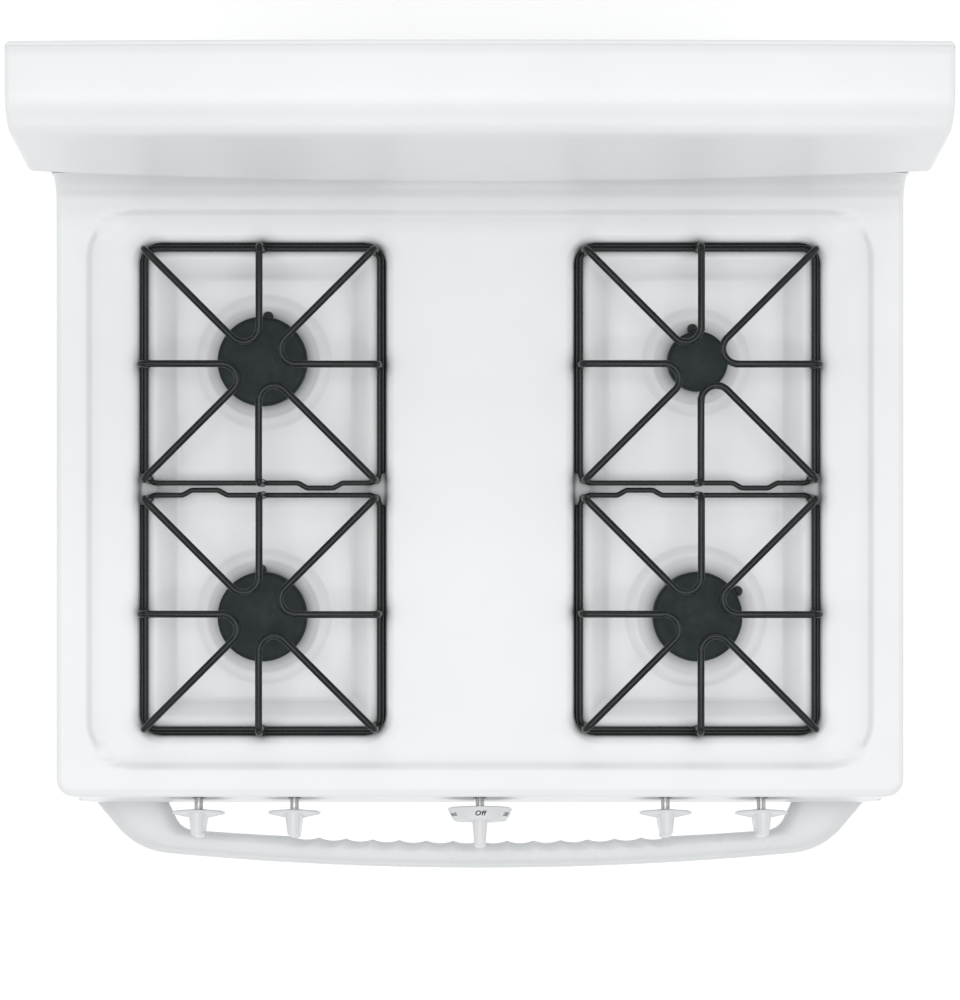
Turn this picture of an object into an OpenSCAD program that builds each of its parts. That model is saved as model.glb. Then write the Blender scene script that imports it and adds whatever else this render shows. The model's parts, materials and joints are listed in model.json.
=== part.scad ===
// Freestanding gas range, 30 inch class, with a broiler drawer under the oven.
// Millimetres. +Z is up, the door faces -Y and +X is to the right of someone facing the range.
// The origin is on the floor, under the middle of the whole range.

/* [Body] */
// Width over the side panels and the cooktop
range_w = 762; // [758:1:776]
// Depth from the handle to the back
overall_d = 717; // [712:1:724]
// Depth of the body, without the door and the handle
body_d = 635.5; // [632:0.5:640]
// Height of the cooking surface above the floor
surface_z = 911; // [905:1:920]
// Gap between the floor and the base frame
leg_h = 30; // [27:1:32]
// Thickness of the enamelled sheet
sheet = 1.6; // [1.2:0.1:1.8]

/* [Cooktop] */
// Height of the raised rim over the cooking surface
rim_h = 3.5; // [2:0.5:5]
// Half width of the stepped-down surface
recess_x = 351; // [345:1:356]
// Half depth of the stepped-down surface
recess_y = 248.6; // [244:0.1:250]
// Width of a well
well_w = 222; // [220:1:226]
// Depth of a well, front to back
well_d = 444; // [442:1:450]
// Drop from the surface to the ledge that carries the grates
ledge_drop = 10; // [8:1:11]
// Width of that ledge
ledge_w = 17.5; // [14:0.5:19]
// Drop from the surface to the floor of a well
well_drop = 26; // [24:1:28]
// Radius of the swept-up rear edge
sweep_r = 25; // [20:1:25]

/* [Burners] */
// Distance of the burners and grates from the middle, sideways
burner_x = 196; // [194:0.5:198]
// Distance of the burners from the middle, front to back
burner_y = 115; // [110:0.5:118]
// Radius of the three large caps
cap_r = 40.4; // [38:0.2:42]
// Radius of the small cap
small_cap_r = 27.3; // [25:0.1:29]
// How far a cap lifts out of its burner head
cap_lift = 28; // [20:1:30]

/* [Grates] */
// Distance of the grate centres from the middle, front to back
grate_y = 111; // [110.5:0.1:112]
// Side of the square frame, between wire centres
grate_side = 211; // [208:0.5:212]
// Diameter of the frame wire
frame_wire = 4.76; // [4:0.02:5]
// Diameter of the finger wire
finger_wire = 6.35; // [5.5:0.05:7]
// Height of the fingers over the frame
finger_rise = 42.6; // [38:0.2:46]
// Bend radius of a hairpin finger
hairpin_r = 13.5; // [12:0.5:15]

/* [Controls] */
// Distance of the outer burner knobs from the middle
outer_knob_x = 258.5; // [255:0.5:262]
// Distance of the inner burner knobs from the middle
inner_knob_x = 170.5; // [168:0.5:174]
// Height of the knob axes on the panel
knob_z = 855; // [850:1:860]
// Diameter of a valve stem
stem_d = 8; // [6:0.5:9]
// Travel of a knob when it is pushed in
knob_push = 3; // [2:0.5:4]

/* [Oven] */
// Inside width of the oven
oven_w = 610; // [600:2:614]
// Height of the oven's bottom above the floor
oven_z = 330; // [328:1:332]
// Inside height of the oven
oven_h = 420; // [400:2:424]
// Height of the lower rack's guide
low_rack_z = 470; // [460:1:480]
// Height of the upper rack's guide
high_rack_z = 610; // [600:1:620]

/* [Door and drawer] */
// Thickness of the door
door_t = 36; // [34:1:36]
// Height of the door's lower edge
door_z = 218; // [216:1:220]
// Height of the door's upper edge
door_top_z = 800; // [796:1:801]
// Height of the middle of the handle
handle_z = 780; // [770:1:782]
// Thickness of the handle bar, top to bottom
handle_t = 23.5; // [20:0.5:26]
// Diameter of the hinge pins
pin_d = 8; // [6:0.5:8]
// Height of the drawer's upper edge
drawer_top_z = 206; // [200:1:207]

/* [Backguard] */
// Height of the console's lower edge
console_z = 1060; // [1040:5:1080]
// Height of the console's upper edge at its two ends
console_top_z = 1180; // [1170:1:1190]
// Extra height of the console at the middle
console_arch = 7; // [5:1:20]
// How far the console's face bows forward at the middle
console_bow = 12; // [6:1:14]
// Lean of the console's face from upright
console_lean = 11.4; // [8:0.1:13]

/* [Hidden] */
$fn = 96;
fit = 0.05;                       // radial clearance of a shaft in its bore
rear_y = overall_d / 2;
front_y = rear_y - body_d;        // front edge of the cooktop
rim_z = surface_z + rim_h;
ledge_z = surface_z - ledge_drop;
well_z = surface_z - well_drop;
well_x = burner_x - 0.3;
skirt_z = rim_z - 21.5;           // lower edge of the cooktop's skirt
half_w = range_w / 2;
side_x = half_w - 1;              // outer face of the side panels
inner_x = side_x - sheet;
back_y = rear_y - 1.5;            // outer face of the rear sheets
base_z = leg_h;
rail_h = 28;
sweep_y = rear_y - 103.5;         // where the rear edge starts to sweep up
sweep_top_z = 950;
riser_y = sweep_y + sweep_r + sheet;

door_front_y = front_y - 16;      // front face of the door and the drawer
door_rear_y = door_front_y + door_t;
frame_y = door_rear_y + 3.5;      // front face of the front frame
frame_t = 2;
door_half_w = half_w - 4;
pivot_y = door_front_y + 13;
pivot_z = door_z + 8;
hinge_x = 298;
hinge_notch = 22;

panel_top = [front_y, skirt_z];
panel_bottom = [front_y - 17, door_top_z + 3];
panel_tilt = atan((panel_top[0] - panel_bottom[0]) / (panel_top[1] - panel_bottom[1]));
knob_y = panel_top[0] - tan(panel_tilt) * (panel_top[1] - knob_z);
panel_half_w = half_w - 11;
manifold_depth = 52;              // manifold axis behind the panel's face
manifold_r = 10;
valve_depth = 40;
valve_half_h = 14;
valve_bore = 30;                  // depth of the stem's bore in a valve
burner_knobs = [-outer_knob_x, -inner_knob_x, inner_knob_x, outer_knob_x];

liner_x = oven_w / 2;
liner_back_y = 245;
oven_top_z = oven_z + oven_h;
rack_levels = [400, low_rack_z, 540, high_rack_z, 680];
rack_rod_r = 3.5;
rack_half_w = liner_x - 3;

tray_half_w = 300;
tray_z = 75;
tray_rim_z = 118.5;
drawer_back_y = 190;
leg_x = side_x - 22;
leg_front_y = frame_y + 18.5;
leg_rear_y = back_y - 20;
leg_r = 5;

grate_half = grate_side / 2;
corner_r = 10.5;
grate_wire_z = ledge_z + frame_wire / 2 + 0.3;
finger_z = grate_wire_z + finger_rise;

// Each burner: its place, cap radius, ring radius and the place of its electrode from its centre.
burners = [
    [[-burner_x, burner_y], cap_r, 62, [4, 41.4]],
    [[burner_x, burner_y], small_cap_r, 50, [-3.5, 30.2]],
    [[-burner_x, -burner_y], cap_r, 62, [-2.4, 42.1]],
    [[burner_x, -burner_y], cap_r, 65, [37.3, 22.5]],
];
cap_z = well_z + 18.3;            // underside of a cap
cap_t = 8;
head_gap = 5.4;                   // how far a cap overhangs its burner head
throat_r = 14;
stub_r = 20;                      // outer radius of a burner head's throat

// Gas supply.
gas_x = -300;                     // the inlet's place at the back
gas_z = 160;
inlet_r = 9.3;
inlet_depth = 20;
regulator_y = 315;
manifold_end = 300;
feed_x = 356;
pipe_gap = 0.1;                   // between a pipe's end and what it is joined to
stem_tip = 25;                    // how far a stem stands out of the panel
burner_tube_z = 274;
burner_tube_r = 18;
burner_tube_back = 232;

// Door, handle and drawer.
window_z = (door_z + door_top_z) / 2 + 2;
bow_out_r = 3150;                 // bow radii of the handle's front and rear
bow_in_r = 3700;
handle_front = -overall_d / 2;
handle_back = handle_front + 25;
drawer_z = 45;

// The places of the screws that hold the rear sheets, in X and Z.
screw_places = concat(
    [for (side = [-1, 1], z = [80, 340, 600, 860]) [side * (side_x - 12), z]],
    [for (side = [-1, 1], z = [980, 1120]) [side * (half_w - 14), z]]);

// ---------- helpers ----------

// A rectangle with round corners, centred.
module rounded_rect(w, d, r) {
    square([w - 2 * r, d], center = true);
    square([w, d - 2 * r], center = true);
    for (sx = [-1, 1], sy = [-1, 1])
        translate([sx * (w / 2 - r), sy * (d / 2 - r)]) circle(r);
}

// A block from one corner to the other.
module block(low, high) {
    translate(low) cube(high - low);
}

// An outline in Y and Z, drawn out along X and centred on it.
module along_x(length) {
    rotate([90, 0, 90]) linear_extrude(length, center = true) children();
}

// An outline in X and Z, drawn out along Y from y0 to y1.
module along_y(y0, y1) {
    translate([0, y1, 0]) rotate([90, 0, 0]) linear_extrude(y1 - y0) children();
}

// A round bar between two points.
module rod(a, b, r) {
    run = b - a;
    translate(a) rotate([0, acos(run.z / norm(run)), atan2(run.y, run.x)])
        cylinder(h = norm(run), r = r);
}

// Points along an arc, from one angle to another.
function arc_points(centre, r, from, to, steps) =
    [for (i = [0 : steps]) let (a = from + (to - from) * i / steps)
        [centre.x + r * cos(a), centre.y + r * sin(a), centre.z]];

function unit(v) = v / norm(v);

// A direction mirrored in the mitre plane of a bend, and carried through the first few bends.
function mirrored(w, bend) = w - 2 * (w * bend) * bend;
function carried(w, bends, count) =
    count == 0 ? w : mirrored(carried(w, bends, count - 1), bends[count - 1]);

// The ring of points where a round wire that runs along d is cut by the plane square to cut.
function wire_ring(p, d, cut, u, v, r, sides) =
    [for (k = [0 : sides - 1]) let (a = 360 * k / sides, w = r * (cos(a) * u + sin(a) * v))
        p + w - d * ((w * cut) / (d * cut))];

// A wire through the points, mitred at its bends.
module wire(points, r) {
    sides = 10;
    last = len(points) - 1;
    d = [for (i = [0 : last - 1]) unit(points[i + 1] - points[i])];
    bends = [for (i = [1 : last - 1]) unit(d[i - 1] + d[i])];
    u = unit(cross(d[0], abs(d[0].z) < 0.9 ? [0, 0, 1] : [1, 0, 0]));
    v = cross(d[0], u);
    rings = [for (i = [0 : last]) let (j = max(i - 1, 0))
        wire_ring(points[i], d[j], i == 0 || i == last ? d[j] : bends[i - 1],
            carried(u, bends, j), carried(v, bends, j), r, sides)];
    polyhedron(
        points = [for (ring = rings) each ring],
        faces = concat(
            [[for (k = [0 : sides - 1]) k]],
            [for (i = [0 : last - 1], k = [0 : sides - 1])
                [i * sides + k, (i + 1) * sides + k, (i + 1) * sides + (k + 1) % sides,
                    i * sides + (k + 1) % sides]],
            [[for (k = [sides - 1 : -1 : 0]) last * sides + k]]));
}

// The control panel's own frame: the local Z axis points out of the panel at a knob's place.
module on_panel(x) {
    translate([x, knob_y, knob_z]) rotate([90 - panel_tilt, 0, 0]) children();
}

// A point near the panel: so far up along its face, so far out of it.
function panel_point(x, up, out) =
    [x, knob_y + up * sin(panel_tilt) - out * cos(panel_tilt),
        knob_z + up * cos(panel_tilt) + out * sin(panel_tilt)];

// ---------- frame and covers ----------

// Four pressed rails, open underneath, with a boss for each leg.
module base_frame() {
    width = 36;
    front = frame_y + frame_t;
    rear = back_y - sheet;
    color("dimgray") {
        difference() {
            union() {
                difference() {
                    block([-inner_x, front, base_z], [inner_x, rear, base_z + rail_h]);
                    rail_middle(front + width, rear - width, inner_x - width, 0);
                    difference() {
                        block([sheet - inner_x, front + sheet, base_z - 1],
                            [inner_x - sheet, rear - sheet, base_z + rail_h - sheet]);
                        rail_middle(front + width, rear - width, inner_x - width, sheet);
                    }
                }
                for (x = [-leg_x, leg_x], y = [leg_front_y, leg_rear_y])
                    translate([x, y, base_z]) cylinder(h = rail_h - sheet / 2, r = leg_r + 4);
            }
            for (x = [-leg_x, leg_x], y = [leg_front_y, leg_rear_y])
                translate([x, y, base_z - 1]) cylinder(h = rail_h + 2, r = leg_r + fit);
        }
        for (side = [-1, 1]) drawer_rail(side);
    }
}

// The open middle between the rails, grown by the given wall.
module rail_middle(front, rear, half_x, wall) {
    block([-half_x - wall, front - wall, base_z - 2], [half_x + wall, rear + wall, base_z + rail_h + 1]);
}

// One rail of the drawer: an upright plate with a lip that the drawer's rim runs on.
module drawer_rail(side) {
    rail_x = tray_half_w + 14;
    lip_top = tray_rim_z - 2.5;
    mirror([side < 0 ? 1 : 0, 0, 0]) {
        block([rail_x, frame_y + frame_t, base_z + rail_h - 4], [rail_x + 2, back_y - 20, lip_top]);
        block([tray_half_w + 3, frame_y + frame_t, lip_top - 2], [rail_x + 2, back_y - 20, lip_top]);
    }
}

// A side panel: a sheet with a narrow flange along its front and rear edges.
module side_panel() {
    flange = 12;
    front = frame_y - sheet;
    rear = back_y - sheet;
    color("white") difference() {
        block([side_x - flange, front, base_z], [side_x, rear, skirt_z - 0.5]);
        block([0, front + sheet, 0], [inner_x, rear - sheet, skirt_z]);
        // the base frame fills the lower rear corner
        block([0, front + sheet, 0], [inner_x, rear + 1, base_z + rail_h]);
        screw_holes();
    }
}

module left_side_panel() mirror([1, 0, 0]) side_panel();

module right_side_panel() side_panel();

// The rear cover is one broad sheet over two low ones, which leave the gas inlet free between them.
module rear_cover() {
    cut_half_w = 36;
    seam = 0.3;
    edge_x = half_w - sheet;
    split_z = gas_z + cut_half_w;
    color("silver") difference() {
        union() {
            block([-edge_x, back_y - sheet, split_z + seam], [edge_x, back_y, sweep_top_z - 2]);
            for (x = [[-edge_x, gas_x - cut_half_w], [gas_x + cut_half_w, edge_x]])
                block([x[0], back_y - sheet, base_z + 10], [x[1], back_y, split_z]);
        }
        screw_holes();
        // the hole for a supply cord's gland
        along_y(back_y - 5, back_y + 1) translate([gas_x + 90, gas_z]) circle(11);
    }
}

module screw_holes() {
    for (place = screw_places)
        translate([place.x, back_y - 10, place.y]) rotate([-90, 0, 0]) cylinder(h = 20, r = 2.1);
}

module cover_screws() {
    color("lightgray") for (place = screw_places)
        translate([place.x, back_y, place.y]) rotate([-90, 0, 0]) difference() {
            union() {
                translate([0, 0, -8]) cylinder(h = 8, r = 1.95);
                cylinder(h = 1.5, r = 4);
            }
            // hexagonal drive
            translate([0, 0, 0.5]) cylinder(h = 2, r = 2, $fn = 6);
        }
}

// The front frame carries the oven's mouth, the drawer's mouth and the door's hinge eyes.
module front_frame() {
    mouth_half_w = tray_half_w + 30;
    mouth_top_z = drawer_top_z + 6;
    frame_top_z = door_top_z - 2;
    frame_bottom_z = base_z + rail_h;
    color("white") {
        along_y(frame_y, frame_y + frame_t) difference() {
            translate([-inner_x, frame_bottom_z]) square([2 * inner_x, frame_top_z - frame_bottom_z]);
            translate([0, oven_z + oven_h / 2]) rounded_rect(oven_w, oven_h, 14);
            translate([-mouth_half_w, base_z]) square([2 * mouth_half_w, mouth_top_z - base_z]);
        }
        for (side = [-1, 1]) hinge_eye(side * hinge_x);
    }
}

module hinge_eye(x) {
    eye_r = 10;
    arm_t = 8;
    arm_h = 14;
    difference() {
        union() {
            translate([x - arm_t / 2, pivot_y, pivot_z]) rotate([0, 90, 0])
                cylinder(h = arm_t, r = eye_r);
            block([x - arm_t / 2, pivot_y, pivot_z - arm_h / 2],
                [x + arm_t / 2, frame_y + 1, pivot_z + arm_h / 2]);
        }
        translate([x - arm_t, pivot_y, pivot_z]) rotate([0, 90, 0])
            cylinder(h = 2 * arm_t, r = pin_d / 2 + fit);
    }
}

// ---------- oven ----------

module oven_liner() {
    t = sheet;
    front = frame_y + frame_t;
    color("slategray") {
        difference() {
            block([-liner_x - t, front, oven_z - t], [liner_x + t, liner_back_y + t, oven_top_z + t]);
            block([-liner_x, front - 1, oven_z], [liner_x, liner_back_y, oven_top_z]);
            // the bottom is open over the burner
            block([-liner_x + 50, front + 40, oven_z - t - 1],
                [liner_x - 50, liner_back_y - 40, oven_z + 1]);
            // the way out to the flue
            block([-50, liner_back_y - 1, oven_top_z - 50], [50, liner_back_y + t + 1, oven_top_z - 14]);
        }
        // rack guides on both walls
        for (side = [-1, 1], z = rack_levels)
            block([side < 0 ? -liner_x : liner_x - 8, front + 12, z - 6],
                [side < 0 ? 8 - liner_x : liner_x, liner_back_y - 8, z - 3]);
    }
}

module oven_floor() {
    edge_x = liner_x - 2;
    slots = 9;
    color("slategray") difference() {
        block([-edge_x, frame_y + frame_t + 3, oven_z], [edge_x, liner_back_y - 3, oven_z + 2.5]);
        // slots along both sides let the heat up
        for (side = [-1, 1], i = [0 : slots - 1])
            translate([side * (edge_x - 28), -180 + i * 45, oven_z - 1])
                linear_extrude(5) rounded_rect(6, 34, 2.9);
    }
}

module oven_insulation() {
    t = 28;
    color("khaki") difference() {
        block([-liner_x - t - 2, frame_y + frame_t + 1, oven_z - 16],
            [liner_x + t + 2, liner_back_y + t, oven_top_z + t]);
        block([-liner_x - sheet - 0.5, frame_y - 5, oven_z - 20],
            [liner_x + sheet + 0.5, liner_back_y + sheet + 0.5, oven_top_z + sheet + 0.5]);
        block([-62, liner_back_y, oven_top_z - 58], [62, liner_back_y + t + 5, oven_top_z - 6]);
    }
}

// The braided seal round the oven's mouth, squeezed flat by the closed door.
module door_gasket() {
    seal_t = frame_y - door_rear_y - 0.3;
    seal_w = 10;
    color("gray") translate([0, 0, oven_z + oven_h / 2]) along_y(frame_y - seal_t, frame_y)
        difference() {
            rounded_rect(oven_w + 34, oven_h + 28, 24);
            rounded_rect(oven_w + 34 - 2 * seal_w, oven_h + 28 - 2 * seal_w, 14);
        }
}

module flame_spreader() {
    half_x = 190;
    half_y = 180;
    z = oven_z - 16;
    color("gray") {
        difference() {
            block([-half_x, -half_y, z - 12], [half_x, half_y, z]);
            block([-half_x + 1.5, -half_y + 1.5, z - 13], [half_x - 1.5, half_y - 1.5, z - 1.5]);
        }
        // posts up to the oven's bottom
        for (x = [-half_x + 5, half_x - 5], y = [-half_y + 5, half_y - 5])
            rod([x, y, z - 1], [x, y, oven_z], 3);
    }
}

module oven_burner() {
    t = 1.5;
    color("lightsteelblue") {
        difference() {
            rod([0, -200, burner_tube_z], [0, burner_tube_back, burner_tube_z], burner_tube_r);
            rod([0, -200 + t, burner_tube_z], [0, burner_tube_back + 1, burner_tube_z], burner_tube_r - t);
            // flame ports along both sides
            for (i = [0 : 17])
                block([-burner_tube_r - 1, -180 + i * 20, burner_tube_z + 5],
                    [burner_tube_r + 1, -172 + i * 20, burner_tube_z + 8]);
        }
        // bracket onto the front frame
        block([-12, frame_y + frame_t, burner_tube_z - 4], [12, -199, burner_tube_z + 4]);
    }
}

module oven_igniter() {
    x = burner_tube_r + 4;
    color("ivory") block([x, 30, burner_tube_z - 10], [x + 16, 62, burner_tube_z + 12]);
    color("dimgray") block([x + 4, -50, burner_tube_z - 4], [x + 12, 30, burner_tube_z + 8]);
    color("silver") block([burner_tube_r, 50, burner_tube_z - 3], [x, 60, burner_tube_z + 3]);
}

module gas_safety_valve() {
    color("silver") {
        block([-24, burner_tube_back + 12, burner_tube_z - 22],
            [24, burner_tube_back + 56, burner_tube_z + 22]);
        // the orifice spud that feeds the burner tube
        rod([0, burner_tube_back - 12, burner_tube_z], [0, burner_tube_back + 12, burner_tube_z], 8);
    }
}

// ---------- gas supply ----------

module gas_manifold() {
    m = panel_point(0, 0, -manifold_depth);
    feed_r = 7;
    color("goldenrod") {
        rod([-manifold_end, m.y, m.z], [manifold_end, m.y, m.z], manifold_r);
        // an outlet for each valve and for the thermostat
        for (x = concat(burner_knobs, [0]))
            on_panel(x) translate([0, 0, -manifold_depth]) cylinder(h = manifold_depth - valve_depth, r = 7);
        // the feed from the regulator, along the left side, and the branch to the oven burner
        wire([[-manifold_end - pipe_gap, m.y, m.z], [-feed_x, m.y, m.z], [-feed_x, regulator_y, m.z],
            [-feed_x, regulator_y, gas_z], [gas_x - 25 - pipe_gap, regulator_y, gas_z]], feed_r);
        wire([[gas_x + 25 + pipe_gap, regulator_y, gas_z], [gas_x + 60, regulator_y, gas_z],
            [gas_x + 60, regulator_y, burner_tube_z], [gas_x + 110, burner_tube_back + 34, burner_tube_z],
            [-24 - pipe_gap, burner_tube_back + 34, burner_tube_z]], feed_r - 2);
    }
}

module pressure_regulator() {
    color("silver") difference() {
        union() {
            block([gas_x - 25, regulator_y - 22, gas_z - 22], [gas_x + 25, regulator_y + 21, gas_z + 22]);
            translate([gas_x, regulator_y, gas_z + 22]) cylinder(h = 6, r = 28);
            translate([gas_x, regulator_y, gas_z + 28]) cylinder(h = 14, r = 21);
            rod([gas_x, regulator_y + 21, gas_z], [gas_x, back_y - 7, gas_z], 16);
        }
        rod([gas_x, back_y - 7 - inlet_depth, gas_z], [gas_x, back_y, gas_z], inlet_r);
    }
}

module burner_valves() {
    color("goldenrod") for (x = burner_knobs) on_panel(x) valve_body(10, 30);
}

module oven_thermostat() {
    color("silver") on_panel(0) valve_body(12, 46);
}

// A valve body on the manifold: a block, a collar and a narrow nose behind the panel, with the
// bore that its stem turns in.
module valve_body(collar_r, width) {
    block_t = 24;
    collar_z = -17;
    nose_z = -6.5;
    difference() {
        union() {
            translate([-width / 2, -valve_half_h, -valve_depth]) cube([width, 2 * valve_half_h, block_t]);
            translate([0, 0, collar_z]) cylinder(h = nose_z + 0.5 - collar_z, r = collar_r);
            translate([0, 0, nose_z]) cylinder(h = 2.5, r = collar_r - 3);
        }
        translate([0, 0, -valve_bore]) cylinder(h = valve_bore, r = stem_d / 2 + fit);
    }
}

module spark_module() {
    color("black") {
        block([200, back_y - sheet - 30, 790], [280, back_y - sheet, 850]);
        for (i = [0 : 3]) translate([212 + i * 18, back_y - sheet - 16, 850]) cylinder(h = 10, r = 4);
    }
}

// A tube from each valve's top to its burner head.
module supply_tubes() {
    tube_r = 5;
    straight = 16;                // last length of a tube, level with its burner head's throat
    level = well_z - 25;
    color("silver") for (i = [0 : 3]) {
        valve_x = burner_knobs[[0, 3, 1, 2][i]];
        burner = burners[i][0];
        start = panel_point(valve_x, valve_half_h + pipe_gap, -28);
        rise = panel_point(valve_x, valve_half_h + 10, -28);
        bend = burner.y > 0 ? [valve_x, 60, level] : rise;
        target = [burner.x, burner.y, level];
        way = unit(target - [bend.x, bend.y, level]);
        end = target - (stub_r + pipe_gap) * way;
        wire([start, rise, burner.y > 0 ? bend : end - straight * way, end], tube_r);
    }
}

// ---------- cooktop and burners ----------

module cooktop_outline(inset) {
    depth = sweep_y - front_y + sweep_r;
    translate([0, front_y + depth / 2]) rounded_rect(range_w - 2 * inset, depth - 2 * inset, 16 - inset);
}

// The outside of both wells, grown by a sheet's thickness.
module well_shells(grow) {
    for (side = [-1, 1]) translate([side * well_x, 0, 0]) {
        translate([0, 0, ledge_z - grow]) linear_extrude(rim_h + ledge_drop + grow + 1)
            rounded_rect(well_w + 2 * grow, well_d + 2 * grow, 20 + grow);
        translate([0, 0, well_z - grow]) linear_extrude(well_drop)
            rounded_rect(well_w - 2 * ledge_w + 2 * grow, well_d - 2 * ledge_w + 2 * grow, 16 + grow);
    }
}

module cooktop() {
    color("white") {
        difference() {
            union() {
                translate([0, 0, skirt_z]) linear_extrude(rim_z - skirt_z) cooktop_outline(0);
                intersection() {
                    well_shells(sheet);
                    block([-half_w, front_y, 0], [half_w, sweep_y, surface_z]);
                }
            }
            // the stepped-down surface and the wells
            translate([0, 0, surface_z]) linear_extrude(rim_h + 1)
                rounded_rect(2 * recess_x, 2 * recess_y, 41);
            well_shells(0);
            // the hollow underside
            difference() {
                translate([0, 0, skirt_z - 1]) linear_extrude(surface_z - sheet - skirt_z + 1)
                    cooktop_outline(sheet);
                well_shells(sheet);
            }
            // a hole under each burner head
            for (burner = burners)
                translate([burner[0].x, burner[0].y, well_z - 5]) cylinder(h = 10, r = stub_r + 1);
        }
        for (burner = burners) translate([burner[0].x, burner[0].y, well_z]) burner_ring(burner[2]);
        rear_sweep();
    }
}

// The embossed ring round a burner.
module burner_ring(r) {
    difference() {
        cylinder(h = 3, r1 = r, r2 = r - 10);
        translate([0, 0, -1]) cylinder(h = 5, r = r - 12);
    }
}

// The rear edge curves up into an upright flange in front of the riser.
module rear_sweep() {
    along_x(range_w) {
        translate([sweep_y, rim_z + sweep_r]) intersection() {
            difference() {
                circle(sweep_r + sheet);
                circle(sweep_r);
            }
            translate([0, -sweep_r - sheet]) square(sweep_r + sheet);
        }
        translate([sweep_y + sweep_r, rim_z + sweep_r]) square([sheet, sweep_top_z - rim_z - sweep_r]);
    }
}

function head_radius(burner) = burner[1] - head_gap;

module burner_heads() {
    color("lightgray") for (burner = burners) translate([burner[0].x, burner[0].y, 0]) {
        r = head_radius(burner);
        difference() {
            union() {
                translate([0, 0, well_z - 34]) cylinder(h = 34, r = stub_r);
                translate([0, 0, well_z]) cylinder(h = cap_z - well_z - 0.3, r = r);
            }
            translate([0, 0, well_z - 30]) cylinder(h = 60, r = throat_r);
            // flame ports round the rim
            for (i = [0 : 17]) rotate(i * 20)
                translate([throat_r - 2, -1, cap_z - 5]) cube([r, 2, 6]);
        }
    }
}

module burner_cap(i) {
    color([0.12, 0.13, 0.14]) translate([burners[i][0].x, burners[i][0].y, cap_z]) {
        r = burners[i][1];
        rotate_extrude() difference() {
            square([r, cap_t]);
            translate([r - 3, cap_t - 3]) difference() {
                square(4);
                circle(3);
            }
        }
        // the skirt that centres the cap in its head
        translate([0, 0, -6]) difference() {
            cylinder(h = 6.5, r = throat_r - 1);
            translate([0, 0, -1]) cylinder(h = 7, r = throat_r - 3);
        }
    }
}

module cap_rear_left() burner_cap(0);

module cap_rear_right() burner_cap(1);

module cap_front_left() burner_cap(2);

module cap_front_right() burner_cap(3);

module spark_electrodes() {
    color("black") for (burner = burners)
        translate([burner[0].x + burner[3].x, burner[0].y + burner[3].y, well_z]) {
            cylinder(h = 7, r = 5.4);
            translate([0, 0, 7]) cylinder(h = 6, r = 3.5);
            translate([0, 0, 13]) cylinder(h = 3.5, r = 1);
        }
}

// ---------- grates ----------

// A wire grate for a rear burner. A front one is the same piece turned round.
module grate() {
    h = grate_half;
    inset = h - corner_r;
    r = hairpin_r;
    arc_y = r * (1 + sqrt(2));
    corner = h - corner_r * (1 - sqrt(0.5));
    jog = [for (p = [[0, 0], [32, 0], [40, -4.5], [64, -4.5], [72, 0]]) [p.x, p.y - h, 0]];
    color([0.13, 0.15, 0.16]) {
        // the frame is one wire whose ends nearly meet
        wire(concat(jog,
            arc_points([inset, -inset, 0], corner_r, -90, 0, 4),
            arc_points([inset, inset, 0], corner_r, 0, 90, 4),
            arc_points([-inset, inset, 0], corner_r, 90, 180, 4),
            arc_points([-inset, -inset, 0], corner_r, 180, 270, 4),
            [[-1, -h, 0]]), frame_wire / 2);
        // four hairpin fingers, each held by a leg at the middle of a side and one at a corner
        for (a = [0 : 90 : 270]) rotate(a)
            wire(concat([[0.2, h, 0], [0.2, h, finger_rise - 4], [0.2, h - 4, finger_rise]],
                arc_points([-r, arc_y, finger_rise], r, 0, -135, 7),
                [[4 - corner, corner - 4, finger_rise], [-corner, corner, finger_rise - 5],
                    [-corner, corner, 0]]), finger_wire / 2);
    }
}

module placed_grate(side, row) {
    translate([side * burner_x, row * grate_y, grate_wire_z]) rotate(row < 0 ? 180 : 0) grate();
}

module grate_rear_left() placed_grate(-1, 1);

module grate_rear_right() placed_grate(1, 1);

module grate_front_left() placed_grate(-1, -1);

module grate_front_right() placed_grate(1, -1);

// ---------- control panel and knobs ----------

// The closed form of the control panel, drawn in by inset on every side but the back.
module panel_form(inset) {
    rear = frame_y - 2;
    intersection() {
        along_x(range_w) polygon([
            [panel_top.x + inset, panel_top.y - 1 - inset],
            [panel_bottom.x + inset, panel_bottom.y + inset],
            [rear + (inset > 0 ? 1 : 0), panel_bottom.y + inset],
            [rear + (inset > 0 ? 1 : 0), panel_top.y - 1 - inset],
        ]);
        linear_extrude(1000) translate([0, panel_bottom.x + 50])
            rounded_rect(2 * (panel_half_w - inset), 100 - 2 * inset, 10);
    }
}

module control_panel() {
    color("white") difference() {
        panel_form(0);
        panel_form(sheet);
        for (x = concat(burner_knobs, [0]))
            on_panel(x) translate([0, 0, -10]) cylinder(h = 20, r = 7);
    }
}

module stem(x) {
    root = valve_bore - 1;
    color("silver") on_panel(x) translate([0, 0, -root]) cylinder(h = root + stem_tip, r = stem_d / 2);
}

module stem_1() stem(burner_knobs[0]);

module stem_2() stem(burner_knobs[1]);

module stem_3() stem(burner_knobs[2]);

module stem_4() stem(burner_knobs[3]);

module oven_stem() stem(0);

// A blade across a knob: wide at its foot and a little narrower at its tip.
module blade(length, foot, tip, z0, z1) {
    intersection() {
        along_y(-length / 2, length / 2)
            polygon([[-foot / 2, z0], [foot / 2, z0], [tip / 2, z1], [-tip / 2, z1]]);
        along_x(foot) polygon([[-length / 2, z0], [length / 2, z0],
            [length / 2 - 1.5, z1], [1.5 - length / 2, z1]]);
    }
}

module stem_bore(z0) {
    translate([0, 0, z0 - 1]) cylinder(h = stem_tip + knob_push + 2 - z0, r = stem_d / 2 + fit);
}

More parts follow.
